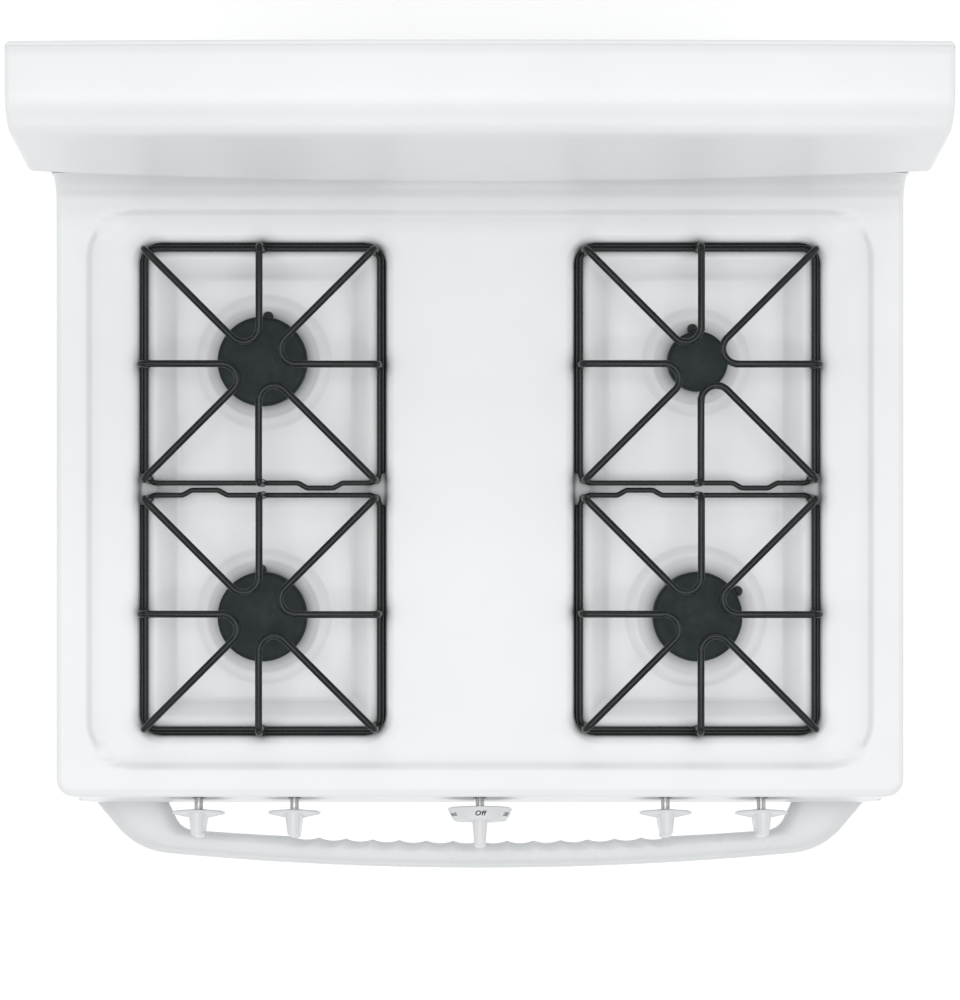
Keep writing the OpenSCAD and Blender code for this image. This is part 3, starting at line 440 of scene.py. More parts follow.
def eased(t, knee=0.12):
    """A straight ramp from 0 to 1 with short rounded ends."""
    t = np.clip(t, 0.0, 1.0)
    mid = 1 / (1 - knee)
    low_end = mid * t * t / (2 * knee)
    high_end = 1 - mid * (1 - t) ** 2 / (2 * knee)
    return np.where(t < knee, low_end, np.where(t > 1 - knee, high_end, mid * (t - knee / 2)))


def rounded_drop(depth):
    """The share of the drop from the surface to the ledge: a round lip, then a short hollow at its foot."""
    t = np.clip((depth + LIP) / LIP, 0, 1)
    lip = 0.78 * (1 - np.sqrt(1 - t ** 2.2))
    return lip + 0.22 * smooth((depth + 0.2 * MM) / (2.2 * MM))


def pressed_height(x, y):
    """Height of the cooktop's pressed surface: rim, flat, wells and burner rings."""
    step = outside_of(x, y, *RECESS)
    z = SURFACE_Z + RIM_H * eased((step + STEP_IN) / STEP_W, 0.45)
    for side in (-1, 1):
        depth = -outside_of(x - side * WELL_X, y, *WELL)
        z = z - (SURFACE_Z - LEDGE_Z) * rounded_drop(depth)
        z = z - (LEDGE_Z - WELL_Z) * eased((depth - SLOPE_IN) / SLOPE_W)
    for name, centre in CAPS.items():
        r, outer = np.hypot(x - centre.x, y - centre.y), RINGS[name]
        crown = np.clip(1 - ((r - outer + 11 * MM) / (1.6 * MM)) ** 2, 0, 1)
        z = z + RING_H * eased((outer - r) / RING_W) + 0.4 * MM * crown
    return z


def burner_lines():
    """Distances of the mesh lines from a burner's middle."""
    core = [0, 7 * MM, 14 * MM, HOLE_R, 25 * MM, 29 * MM, 33 * MM]
    return core + list(np.arange(36 * MM, RING_ZONE + MM / 2, 1.5 * MM)) + [69 * MM, SQUARE_ZONE]


def cooktop_lines():
    """The mesh lines across and along the cooktop."""
    edge = [-21.5, -12, -5, -1.5, 0, 0.25, 0.8, 1.6, 2.7, 3.8, 5, 7, 9.5, 12, 16]
    wall = list(np.arange(SQUARE_ZONE + 2.5 * MM, WELL[0] - 4 * MM, 2.6 * MM))
    wall += [WELL[0] + o * MM for o in (-3, -2, -1, 0, 0.4, 0.8, 1.5, 2.5, 4, 6, 9)]
    step = list(np.arange(-7, 7.5, 1.75))
    xs = [0, 35 * MM, 60 * MM]
    xs += [CAPS["cap_front_right"].x + s * o for s in (-1, 1) for o in burner_lines() + wall]
    xs += [RECESS[0] + o * MM for o in step] + [HALF_W - o * MM for o in edge] + [320 * MM, 333 * MM]
    xs = sorted({round(x, 6) for s in (-1, 1) for x in [s * v for v in xs]})
    burner_y = CAPS["cap_front_right"].y
    ys = [0, 15 * MM, 30 * MM]
    ys += [-burner_y + s * o for s in (-1, 1) for o in burner_lines()]
    ys += list(np.arange(WELL[1] - 34 * MM, WELL[1] - 4 * MM, 2.6 * MM))
    ys += [WELL[1] + o * MM for o in (-3, -2, -1, 0, 0.4, 0.8, 1.5, 2.5, 4, 6, 9)]
    ys += [RECESS[1] + o * MM for o in step] + [RECESS[1] - 16 * MM]
    ys = [s * v for s in (-1, 1) for v in ys]
    ys += [FRONT_Y + o * MM for o in edge]
    ys = sorted({round(y, 6) for y in ys if y <= SWEEP_Y})
    return xs, ys


def thinned(values, gap=0.2 * MM):
    kept = [values[0]]
    for v in values[1:]:
        if v - kept[-1] > gap:
            kept.append(v)
    return kept


def rounded_corner(p, q):
    """Moves the mesh's square front corners onto the plan's round ones."""
    u = (np.abs(p) - (HALF_W - PLAN_R)) / PLAN_R
    v = (FRONT_Y + PLAN_R - q) / PLAN_R
    inside = (u > 0) & (v > 0)
    big, small = np.maximum(u, v), np.minimum(u, v)
    angle = math.pi / 4 * np.clip(small / np.where(big > 0, big, 1), 0, 1)
    angle = np.where(u >= v, angle, math.pi / 2 - angle)
    reach = PLAN_R * np.minimum(big, 1)
    x = np.where(inside, np.sign(p) * (HALF_W - PLAN_R + reach * np.cos(angle)), np.clip(p, -HALF_W, HALF_W))
    y = np.where(inside, FRONT_Y + PLAN_R - reach * np.sin(angle), np.maximum(q, FRONT_Y))
    frontness = np.where(inside, np.sin(angle) ** 2, (q - FRONT_Y < HALF_W - np.abs(p)) * 1.0)
    return x, y, frontness


def circled(x, y, centre):
    """Turns the square mesh lines round a burner into circles."""
    dx, dy = x - centre.x, y - centre.y
    s = np.maximum(np.abs(dx), np.abs(dy))
    t = np.minimum(np.abs(dx), np.abs(dy)) / np.where(s > 0, s, 1)
    angle = math.pi / 4 * t
    along = np.abs(dx) >= np.abs(dy)
    cx = np.sign(dx) * s * np.where(along, np.cos(angle), np.sin(angle))
    cy = np.sign(dy) * s * np.where(along, np.sin(angle), np.cos(angle))
    mix = smooth((SQUARE_ZONE - s) / (SQUARE_ZONE - RING_ZONE))
    return centre.x + dx + mix * (cx - dx), centre.y + dy + mix * (cy - dy), s


def build_cooktop():
    """One pressed sheet: rolled edges, skirt, rim step, two wells, burner rings and a swept-up rear edge."""
    xs, ys = (thinned(v) for v in cooktop_lines())
    p, q = np.meshgrid(xs, ys)
    x, y, frontness = rounded_corner(p, q)
    burner_gap = np.full_like(x, 1.0)
    for centre in CAPS.values():
        x, y, s = circled(x, y, centre)
        burner_gap = np.minimum(burner_gap, s)
    edge = np.minimum(HALF_W - np.abs(p), q - FRONT_Y)
    width = SIDE_ROLL + (FRONT_ROLL - SIDE_ROLL) * frontness
    roll_h = SIDE_ROLL + 1.5 * MM * frontness
    t = np.clip(1 - edge / width, 0, 1)
    drop = roll_h * (1 - np.sqrt(1 - t * t)) + np.maximum(-edge, 0) * (SKIRT - roll_h) / SKIRT
    rows = [np.stack([x, y, pressed_height(x, y) - drop], axis=-1)]
    bends, flange = 9, 3
    side = np.array(xs)
    for k in range(1, bends + flange + 1):
        a = math.radians(90) * min(k / bends, 1)
        climb = (SWEEP_TOP - RIM_Z - SWEEP_R) * max(k - bends, 0) / flange
        at = np.array([SWEEP_Y + SWEEP_R * math.sin(a), RIM_Z + SWEEP_R * (1 - math.cos(a)) + climb])
        normal = np.array([-math.sin(a), math.cos(a)])
        reach = np.clip(1 - (HALF_W - np.abs(side)) / SIDE_ROLL, 0, 1)
        fall = (SIDE_ROLL * (1 - np.sqrt(1 - reach ** 2)))[:, None] * normal * math.cos(a)
        points = at - fall
        hem = np.clip((np.abs(side) - HALF_W) / SKIRT, 0, 1)
        points[:, 1] -= hem * (points[:, 1] - SKIRT_Z)
        rows.append(np.column_stack([np.clip(side, -HALF_W, HALF_W), points])[None])
    grid = np.concatenate(rows)
    count = grid.shape[1]
    faces = []
    for i in range(grid.shape[0] - 1):
        for j in range(count - 1):
            near = i < len(ys) - 1 and max(burner_gap[i, j], burner_gap[i + 1, j],
                                           burner_gap[i, j + 1], burner_gap[i + 1, j + 1])
            if near and near <= HOLE_R + MM / 10:
                continue
            a = i * count + j
            faces.append((a, a + 1, a + count + 1, a + count))
    new_piece("cooktop_pressing", grid.reshape(-1, 3), faces, "cabinet", "white_enamel",
              replaces=("cooktop",), flat=50)


# ---- grates
FRAME_WIRE = 4.76 * MM
FINGER_WIRE = 6.35 * MM
GRATE_HALF = 105.5 * MM
GRATE_CORNER = 10.5 * MM
HAIRPIN_R = 13.5 * MM
FOOT_BEND = 6 * MM
SHADE_WIRE_R = 1.75 * MM  # dark wire beside the frame on the three sides that face a wall: painted reflection and shade, standing where the frame wire's reflection and the dark gap at the well wall are
SHADE_WIRE_DROP = -0.3 * MM
GRATE_WIRE_Z = LEDGE_Z + FRAME_WIRE / 2 + 0.3 * MM
FINGER_Z = high("grate_rear_left").z - FINGER_WIRE / 2
GRATE_MID_Y = high("grate_rear_left").y - GRATE_HALF - FINGER_WIRE / 2


def arc(centre, radius, start, end, steps):
    return [np.array([centre[0] + radius * math.cos(a), centre[1] + radius * math.sin(a), centre[2]])
            for a in np.radians(np.linspace(start, end, steps + 1))]


def build_grate(name):
    """A welded wire grate: a square frame with a jog in one side, four hairpin fingers, and a dark wire
    beside the frame that is painted reflection and shade.
    """
    box_low, box_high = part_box(name)
    sign = 1 if "rear" in name else -1
    centre = np.array([(box_low.x + box_high.x) / 2, sign * GRATE_MID_Y, GRATE_WIRE_Z])
    h, inset, rise = GRATE_HALF, GRATE_HALF - GRATE_CORNER, FINGER_Z - GRATE_WIRE_Z
    jog = rounded([(-2 * MM, -h, 0), (32 * MM, -h, 0), (40 * MM, -h - 4.5 * MM, 0),
                   (64 * MM, -h - 4.5 * MM, 0), (72 * MM, -h, 0), (inset, -h, 0)], 6 * MM, 4)
    frame_path = list(jog)
    for k, (sx, sy) in enumerate(((1, -1), (1, 1), (-1, 1), (-1, -1))):
        frame_path += arc((sx * inset, sy * inset, 0), GRATE_CORNER, 90 * k - 90, 90 * k, 7)
    parts = [tube(frame_path, FRAME_WIRE / 2, 16, closed=True)]
    # painted reflection and shade: a dark wire along the three walled sides stands where the frame wire's
    # reflection and the dark gap at the well wall are
    reach = h + FRAME_WIRE / 2 + SHADE_WIRE_R - 1.0 * MM
    shade_wire_r = GRATE_CORNER + reach - h
    shade_wire = [np.array([reach, -inset, SHADE_WIRE_DROP])]
    for k in (1, 2):
        sx = (1, -1)[k - 1]
        shade_wire += arc((sx * inset, inset, SHADE_WIRE_DROP), shade_wire_r, 90 * k - 90, 90 * k, 7)
    shade_wire += [np.array([-reach, -inset, SHADE_WIRE_DROP])]
    parts.append(tube(shade_wire, SHADE_WIRE_R, 12))
    corner = h - GRATE_CORNER * (1 - math.sqrt(0.5))
    r = HAIRPIN_R
    leg_foot = -FRAME_WIRE / 4
    finger = rounded([(0.2 * MM, h, leg_foot), (0.2 * MM, h, rise), (0.2 * MM, r * (1 + math.sqrt(2)), rise)],
                     FOOT_BEND, 6)
    finger += arc((-r, r * (1 + math.sqrt(2)), rise), r, 0, -135, 16)
    finger += rounded([finger[-1], (-corner, corner, rise), (-corner, corner, leg_foot)], FOOT_BEND, 6)[1:]
    for k in range(4):
        turn = Matrix.Rotation(math.radians(90 * k), 3, "Z")
        path = [np.array(turn @ Vector(p)) for p in finger]
        parts.append(tube(path, FINGER_WIRE / 2, 16))
        for foot in (path[0], path[-1]):
            parts.append(weld_bead(foot))
    verts, faces = merge(*parts)
    verts = [centre + sign * np.array([v[0], v[1], 0]) + np.array([0, 0, v[2]]) for v in verts]
    new_piece(name + "_wires", verts, faces, name, "grate_wire", replaces=(name,), flat=60)


def weld_bead(foot):
    """A small flattened bead where a finger's leg is welded onto the frame."""
    verts, faces = lathe([(0.0001 * MM, -1.6 * MM), (2.2 * MM, -1.4 * MM), (3.7 * MM, -0.3 * MM),
                          (4.0 * MM, 0.9 * MM), (3.4 * MM, 2.2 * MM), (2.6 * MM, 3.0 * MM),
                          (0.0001 * MM, 3.2 * MM)], 14)
    lumpy = [(v[0] * (1 + 0.08 * math.sin(5 * v[1] / MM)), v[1] * (1 + 0.07 * math.cos(4 * v[0] / MM)), v[2])
             for v in verts]
    return [tuple(np.array(v) + foot + np.array([0, 0, 0.4 * MM])) for v in lumpy], faces


# ---- burners
def build_cap(name):
    """A cast cap with a softly rounded edge and a barely domed top."""
    base, top, r = low(name).z, high(name).z, CAP_R[name]
    profile = [(0, base), (r - 4 * MM, base), (r - 1.2 * MM, base + 0.4 * MM),
               (r - 0.2 * MM, base + 1.6 * MM), (r, base + 2.6 * MM)]
    for k in range(1, 7):
        a = math.radians(15 * k)
        profile.append((r - 4 * MM * (1 - math.cos(a)), top - 0.5 * MM - 3.4 * MM * (1 - math.sin(a))))
    for k in range(1, 7):
        t = 1 - k / 6
        profile.append(((r - 4 * MM) * t, top - 0.5 * MM * t * t))
    verts, faces = lathe(profile, 96)
    centre = CAPS[name]
    verts = [(x + centre.x, y + centre.y, z) for x, y, z in verts]
    new_piece(name + "_casting", verts, faces, name, "black_enamel", replaces=(name,), flat=50)


def build_electrode(centre, offset):
    """A ceramic sleeve with a thin pin tip beside a burner head."""
    profile = [(0, 0), (4.6, 0), (4.6, 6.4), (4.2, 7.0), (3.6, 7.1), (3.45, 8), (3.3, 12.4), (2.6, 13),
               (1.0, 13.05), (0.98, 16.2), (0.5, 16.5), (0, 16.5)]
    verts, faces = lathe([(r * MM, WELL_Z + z * MM) for r, z in profile], 32)
    return [(x + centre.x + offset[0] * MM, y + centre.y + offset[1] * MM, z) for x, y, z in verts], faces


PORT_PITCH, PORT_DEPTH = 5.2 * MM, 3 * MM
ELECTRODES = {"cap_rear_left": (4, 41.4), "cap_rear_right": (-3.5, 30.2), "cap_front_left": (-2.4, 42.1),
              "cap_front_right": (37.3, 22.5)}


def build_head(name):
    """A cast burner head: a flared base, a ring of flame ports and a collar under the cap."""
    centre, r = CAPS[name], CAP_R[name] - 5.4 * MM
    top = low(name).z - 0.4 * MM
    ports = int(round(r * 2 * math.pi / PORT_PITCH))
    sides = ports * 6
    base = WELL_Z + 0.1 * MM
    levels = [(20 * MM, base - 30 * MM, 0), (20 * MM, base, 0), (r + 1.5 * MM, base, 0),
              (r + 1.5 * MM, base + 2 * MM, 0), (r, base + 3.5 * MM, 0), (r, top - 9 * MM, 0),
              (r, top - 8 * MM, 1), (r, top - 2.5 * MM, 1), (r, top - 1.5 * MM, 0), (r - 0.8 * MM, top, 0),
              (14.5 * MM, top, 0), (14 * MM, top - 0.5 * MM, 0), (14 * MM, base - 30 * MM, 0)]
    verts = []
    for radius, z, ported in levels:
        for k in range(sides):
            a = 2 * math.pi * k / sides
            reach = radius - (PORT_DEPTH if ported and k % 6 in (2, 3) else 0)
            verts.append((reach * math.cos(a) + centre.x, reach * math.sin(a) + centre.y, z))
    return verts, grid_faces(len(levels), sides, close_rows=True, close_columns=True)


# ---- knobs
PANEL_TILT = math.atan(17 / 90)
KNOB_AXIS = np.array([0, -math.cos(PANEL_TILT), math.sin(PANEL_TILT)])
PANEL_UP = np.array([0, math.sin(PANEL_TILT), math.cos(PANEL_TILT)])
STEM_Z = 855 * MM
BLADE_L = 46 * MM
STEM_XS = (-258.5 * MM, -170.5 * MM, 170.5 * MM, 258.5 * MM)  # burner stems, left to right
STEM_Y = FRONT_Y - math.tan(PANEL_TILT) * (SKIRT_Z - STEM_Z)


def on_panel(points, x):
    """Places points of a knob's own frame: X across, Y up the panel, Z out of it."""
    origin = np.array([x, STEM_Y, STEM_Z])
    return [tuple(origin + np.array([p[0], 0, 0]) + p[1] * PANEL_UP + p[2] * KNOB_AXIS) for p in points]


def blade_loft(length, foot, tip, z0, z1, crest):
    """A blade across a knob: round-ended, narrowing towards its tip and softly crested."""
    verts, steps = [], 10
    levels = [(k / 5, 0) for k in range(5)] + [(1, a) for a in (0, 18, 36, 54, 72, 90)]
    for level, angle in levels:
        a = math.radians(angle)
        z = z0 + (z1 - crest - z0) * level + crest * math.sin(a)
        half = (foot + (tip - foot) * level) / 2 - crest * (1 - math.cos(a))
        reach = length / 2 - 1.5 * MM * level - crest * (1 - math.cos(a))
        for side in (1, -1):
            for k in range(steps + 1):
                b = math.pi * (k / steps - 0.5)
                verts.append((-side * half * math.sin(b), side * (reach - half + half * math.cos(b)), z))
    count = 2 * (steps + 1)
    faces = grid_faces(len(levels), count, close_columns=True)
    faces.append(tuple(range(count)))
    faces.append(tuple(range((len(levels) - 1) * count, len(levels) * count)))
    return verts, faces


def build_burner_knob(name, x):
    """A thin sharp-edged disc on a domed hub, with a tapering blade across it."""
    skirt = [(0, 10.6), (8, 10.6), (12, 11.4), (22.4, 12.0), (23.8, 12.5), (24.2, 13.4), (23.9, 14.3),
             (22.8, 14.9), (18, 15.8), (12, 17.2), (6, 18.2), (0, 18.5)]
    blade = blade_loft(BLADE_L, foot=16.6 * MM, tip=10.6 * MM, z0=12 * MM, z1=35.4 * MM, crest=3.2 * MM)
    verts, faces = merge(lathe([(r * MM, z * MM) for r, z in skirt], 72), blade)
    new_piece(name + "_moulding", on_panel(verts, x), faces, name, "white_plastic", replaces=(name,))


def build_oven_knob():
    """The oven knob: a broad cone that carries the scale, with a blade across its front."""
    cone = [(0, 9.1), (28.6, 9.1), (29.5, 9.6), (29.75, 10.4), (29.5, 11.2), (24.5, 20.2), (23.6, 20.9),
            (22.2, 21.2), (0, 21.6)]
    blade = blade_loft(BLADE_L, foot=14.4 * MM, tip=10.4 * MM, z0=20.5 * MM, z1=44.9 * MM, crest=2.8 * MM)
    verts, faces = merge(lathe([(r * MM, z * MM) for r, z in cone], 96), blade)
    new_piece("oven_knob_moulding", on_panel(verts, 0), faces, "oven_knob", "white_plastic",
              replaces=("oven_knob",))


def letters(text, size, slant=0.0):
    """The outline of a word as flat points and faces, centred."""
    curve = bpy.data.curves.new("word", "FONT")
    curve.body, curve.size, curve.shear = text, size, slant
    curve.align_x = curve.align_y = "CENTER"
    curve.resolution_u = 4
    curve.space_character = 1.1
    curve.offset = size * 0.025
    holder = bpy.data.objects.new("word", curve)
    bpy.context.scene.collection.objects.link(holder)
    mesh = holder.to_mesh()
    verts = [tuple(v.co) for v in mesh.vertices]
    faces = [tuple(f.vertices) for f in mesh.polygons]
    holder.to_mesh_clear()
    bpy.data.objects.remove(holder)
    bpy.data.curves.remove(curve)
    return verts, faces


def build_scale():
    """The oven knob's printed scale, wrapped on its cone: Off at the top, and temperatures round it."""
    marks = [("Off", 90, 6.8, 0.2)]
    marks += [(str(200 + 50 * k), 28 - 28 * k, 5.2, 0.0) for k in range(7)]
    marks += [("Broil", 154, 5.2, 0.0)]
    parts = []
    low_r, low_z, high_r, high_z = 29.5 * MM, 11.2 * MM, 24.5 * MM, 20.2 * MM
    slope = math.hypot(high_r - low_r, high_z - low_z)
    for text, angle, size, slant in marks:
        verts, faces = letters(text, size * MM, slant)
        placed = []
        for x, y, _ in verts:
            up = 0.5 - y / slope
            r = low_r + (high_r - low_r) * up + 0.08 * MM
            z = low_z + (high_z - low_z) * up + 0.05 * MM
            a = math.radians(angle) - x / r
            placed.append((r * math.cos(a), r * math.sin(a), z))
        parts.append((placed, faces))
    verts, faces = merge(*parts)
    new_piece("oven_knob_print", on_panel(verts, 0), faces, "oven_knob", "print", flat=60,
              slot="black_plastic")


# ---- door handle
HANDLE_LOW, HANDLE_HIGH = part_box("door_handle")
HANDLE_FRONT, DOOR_FACE_Y = HANDLE_LOW.y, low("door_outer_panel").y
HANDLE_BAR = 25 * MM
SCALLOPS, SCALLOP_PITCH, SCALLOP_DEPTH = 7, 25.4 * MM, 2.5 * MM


def bow_path(bow_r, bow_y, turn_x, turn_r, turn_angle, count=240):
    """Half of one edge of the handle seen from above, from the middle out to the door."""
    turn_y = bow_y + bow_r - math.sqrt(bow_r ** 2 - turn_x ** 2)
    start = math.asin(turn_x / bow_r)
    centre = (turn_x - turn_r * math.sin(start), turn_y + turn_r * math.cos(start))
    end = math.radians(turn_angle)
    points = [(x, bow_y + bow_r - math.sqrt(bow_r ** 2 - x ** 2)) for x in np.linspace(0, turn_x, count)]
    points += [(centre[0] + turn_r * math.sin(a), centre[1] - turn_r * math.cos(a))
               for a in np.linspace(start, end, 19)[1:]]
    last = points[-1]
    foot = (last[0] + (DOOR_FACE_Y - last[1]) / math.tan(end), DOOR_FACE_Y)
    points += [(last[0] + (foot[0] - last[0]) * t, last[1] + (foot[1] - last[1]) * t)
               for t in np.linspace(0, 1, 13)[1:]]
    return points


def resampled(points, stations):
    """Points along a path at the given shares of its length."""
    points = np.array(points)
    length = np.concatenate([[0], np.cumsum(np.linalg.norm(np.diff(points, axis=0), axis=1))])
    return np.array([[np.interp(s * length[-1], length, points[:, k]) for k in (0, 1)] for s in stations])


def build_handle():
    """A bowed moulding with a softly rounded section, a scalloped grip behind and broad feet."""
    outer = bow_path(3150 * MM, HANDLE_FRONT, turn_x=296 * MM, turn_r=70 * MM, turn_angle=50)
    inner = bow_path(3700 * MM, HANDLE_FRONT + HANDLE_BAR, turn_x=271 * MM, turn_r=20 * MM, turn_angle=65)
    grip = SCALLOPS * SCALLOP_PITCH
    curve_r = ((SCALLOP_PITCH / 2) ** 2 + SCALLOP_DEPTH ** 2) / (2 * SCALLOP_DEPTH)
    stations = np.concatenate([np.linspace(0, 0.56, 181), np.linspace(0.56, 1, 60)[1:]])
    out, back = resampled(outer, stations), resampled(inner, stations)
    for i, (x, _) in enumerate(back):
        if x < grip:
            within = x % SCALLOP_PITCH - SCALLOP_PITCH / 2
            cut = math.sqrt(curve_r ** 2 - within ** 2) - (curve_r - SCALLOP_DEPTH)
            back[i, 1] -= cut * float(smooth((grip - x) / (2 * MM)))
    half_t, middle = (HANDLE_HIGH.z - HANDLE_LOW.z) / 2, (HANDLE_HIGH.z + HANDLE_LOW.z) / 2
    section = []
    for k in range(32):
        a = 2 * math.pi * k / 32
        c, s = math.cos(a), math.sin(a)
        section.append((math.copysign(abs(c) ** 0.62, c), math.copysign(abs(s) ** 0.72, s)))
    rows = []
    for side in (-1, 1):
        order = range(len(stations) - 1, 0, -1) if side < 0 else range(len(stations))
        for i in order:
            mid, half = (out[i] + back[i]) / 2, (back[i] - out[i]) / 2
            rows.append([(side * (mid[0] + half[0] * u), mid[1] + half[1] * u, middle + half_t * v)
                         for u, v in section])
    verts = [p for row in rows for p in row]
    faces = grid_faces(len(rows), 32, close_columns=True)
    faces += [tuple(range(32)), tuple(range(len(verts) - 32, len(verts)))]
    verts = [(x, min(y, DOOR_FACE_Y + 0.3 * MM), z) for x, y, z in verts]
    new_piece("door_handle_moulding", verts, faces, "door", "white_plastic",
              replaces=("door_handle",), flat=80)


# ---- backguard
REAR_RISER_Y = SWEEP_Y + SWEEP_R + 1.6 * MM
ARCH = 7 * MM
CONSOLE_END_Z = TOP_Z - ARCH
CREASE_Y = REAR_Y - 72.5 * MM
FOOT_Y = REAR_Y - 91.5 * MM
FOOT_BOW = 9 * MM
BROW_R = 39.6 * MM
BROW_TURN = 62
END_ROLL = 5 * MM
SHEET = 1.6 * MM
EDGE_R = 0.7 * MM  # edges of the folded sheets


def plate(lowest, highest, r):
    """A block with all its edges rounded."""
    lowest, highest = np.array(lowest, float), np.array(highest, float)
    half = (highest - lowest) / 2
    r = min(r, *(half * 0.98))
    angles = [math.radians(a) for a in (0, 30, 60, 90)]
    rows = [(half[0] - r * (1 - math.sin(a)), half[1] - r * (1 - math.sin(a)), r,
             lowest[2] + r * (1 - math.cos(a))) for a in angles]
    rows += [(a, b, c, lowest[2] + highest[2] - z) for a, b, c, z in reversed(rows)]
    rows = [(a, b, max(c - (half[0] - a), 0.02 * MM), z) for a, b, c, z in rows]
    mid = (lowest + highest) / 2
    verts = [(mid[0] + x, mid[1] + y, z) for a, b, c, z in rows for x, y in rounded_loop(a, b, c, 4, 2)]
    count = len(verts) // len(rows)
    faces = grid_faces(len(rows), count, close_columns=True)
    return verts, faces + [tuple(range(count)), tuple(range(len(verts) - count, len(verts)))]


def console_profile(x, inset):
    """The console's outline at x, from the rear hem over the roof and down the face, drawn in by inset."""
    s = 1 - min(abs(x) / HALF_W, 1) ** 2
    roof = CONSOLE_END_Z + ARCH * s
    turn = math.radians(BROW_TURN)
    centre = (CREASE_Y + BROW_R * math.sin(turn), roof - BROW_R)
    r = BROW_R - inset
    points = [(REAR_Y - inset, roof - 12 * MM), (REAR_Y - inset, roof - inset - 1.5 * MM),
              (REAR_Y - 0.5 * MM - inset, roof - 0.5 * MM - inset), (REAR_Y - 1.5 * MM - inset, roof - inset),
              (REAR_Y - 3.4 * MM, roof - inset), (REAR_Y - 3.8 * MM, roof - 0.35 * MM - inset),
              (REAR_Y - 4.5 * MM, roof - 0.35 * MM - inset), (REAR_Y - 5.0 * MM, roof - 0.1 * MM - inset),
              (REAR_Y - 12 * MM, roof - inset)]
    points += [(centre[0] - r * math.sin(a), centre[1] + r * math.cos(a)) for a in np.linspace(0, turn, 15)]
    crease = points[-1]
    foot_z = CONSOLE_Z + inset
    foot = (FOOT_Y - FOOT_BOW * s + inset, foot_z)
    face = [(crease[0] + (foot[0] - crease[0]) * t, crease[1] + (foot[1] - crease[1]) * t)
            for t in np.linspace(0, 1, 12)[1:]]
    round_r = 5 * MM
    stop = face[-2]
    under = rounded([(0, *stop), (0, *foot), (0, foot[0] + 9 * MM, foot_z)], round_r - inset * 0.6, 6)
    points += face[:-2] + [tuple(p[1:]) for p in under]
    points.append((REAR_RISER_Y + SHEET / 2, foot_z))
    return points


def build_backguard():
    """The console with its riser and side flanges."""
    flat = list(np.linspace(-HALF_W + END_ROLL, HALF_W - END_ROLL, 61))
    rolls = [math.radians(a) for a in (90, 70, 50, 30, 12, 0)]
    stations = [(-HALF_W + END_ROLL * (1 - math.sin(a)), END_ROLL * (1 - math.cos(a))) for a in rolls]
    stations += [(x, 0.0) for x in flat[1:-1]]
    stations += [(-x, inset) for x, inset in reversed(stations[:len(rolls)])]
    rows = [[(x, y, z) for y, z in console_profile(x, inset)] for x, inset in stations]
    count = len(rows[0])
    verts = [p for row in rows for p in row]
    faces = grid_faces(len(rows), count)
    for first in (0, (len(rows) - 1) * count):
        x, hem_z, low_z = verts[first][0], verts[first][2], CONSOLE_Z - 0.1 * MM
        added = tuple(range(len(verts), len(verts) + 3))
        verts += [(x, REAR_RISER_Y + SHEET / 2, low_z), (x, REAR_Y, low_z), (x, REAR_Y, hem_z)]
        faces.append(tuple(range(first, first + count)) + added)
    parts = [(verts, faces), pierced_riser()]
    for side in (-1, 1):
        a, b = sorted((side * HALF_W, side * (HALF_W - SHEET)))
        parts.append(plate((a, REAR_RISER_Y, SKIRT_Z), (b, REAR_Y, CONSOLE_Z - 0.2 * MM), EDGE_R))
        a, b = sorted((side * (HALF_W - 0.2 * MM), side * (HALF_W - 3 * MM)))
        parts.append(plate((a, REAR_Y - 14 * MM, CONSOLE_Z), (b, REAR_Y, CONSOLE_END_Z - 11 * MM), EDGE_R))
    verts, faces = merge(*parts)
    new_piece("backguard_sheet", verts, faces, "cabinet", "white_enamel", replaces=("backguard_panel",))


def pierced_riser():
    """The upright riser with three rows of vent slots under the console."""
    slots_x = [i * 12 * MM for i in range(-4, 5)]
    slots_z = [CONSOLE_Z - (68 - 18 * row) * MM for row in range(3)]
    xs = sorted([-HALF_W + SHEET, HALF_W - SHEET] + [x + s * 4 * MM for x in slots_x for s in (-1, 1)])
    zs = sorted([RIM_Z + SWEEP_R, CONSOLE_Z - 0.2 * MM] + [z + d * MM for z in slots_z for d in (0, 12)])

    def open_cell(i, j):
        x, z = (xs[i] + xs[i + 1]) / 2, (zs[j] + zs[j + 1]) / 2
        return (min(abs(x - c) for c in slots_x) < 4 * MM
                and any(0 < z - c < 12 * MM for c in slots_z))

    verts = [(x, y, z) for y in (REAR_RISER_Y, REAR_RISER_Y + SHEET) for z in zs for x in xs]
    nx, nz = len(xs), len(zs)
    solid = {(i, j) for i in range(nx - 1) for j in range(nz - 1) if not open_cell(i, j)}
    faces = []
    for i, j in solid:
        a, back = j * nx + i, nx * nz
        quad = (a, a + 1, a + nx + 1, a + nx)
        faces += [quad, tuple(back + v for v in reversed(quad))]
        for (di, dj), (p, q) in (((0, -1), (0, 1)), ((1, 0), (1, 2)), ((0, 1), (2, 3)), ((-1, 0), (3, 0))):
            if (i + di, j + dj) not in solid:
                faces.append((quad[p], quad[q], back + quad[q], back + quad[p]))
    return verts, faces


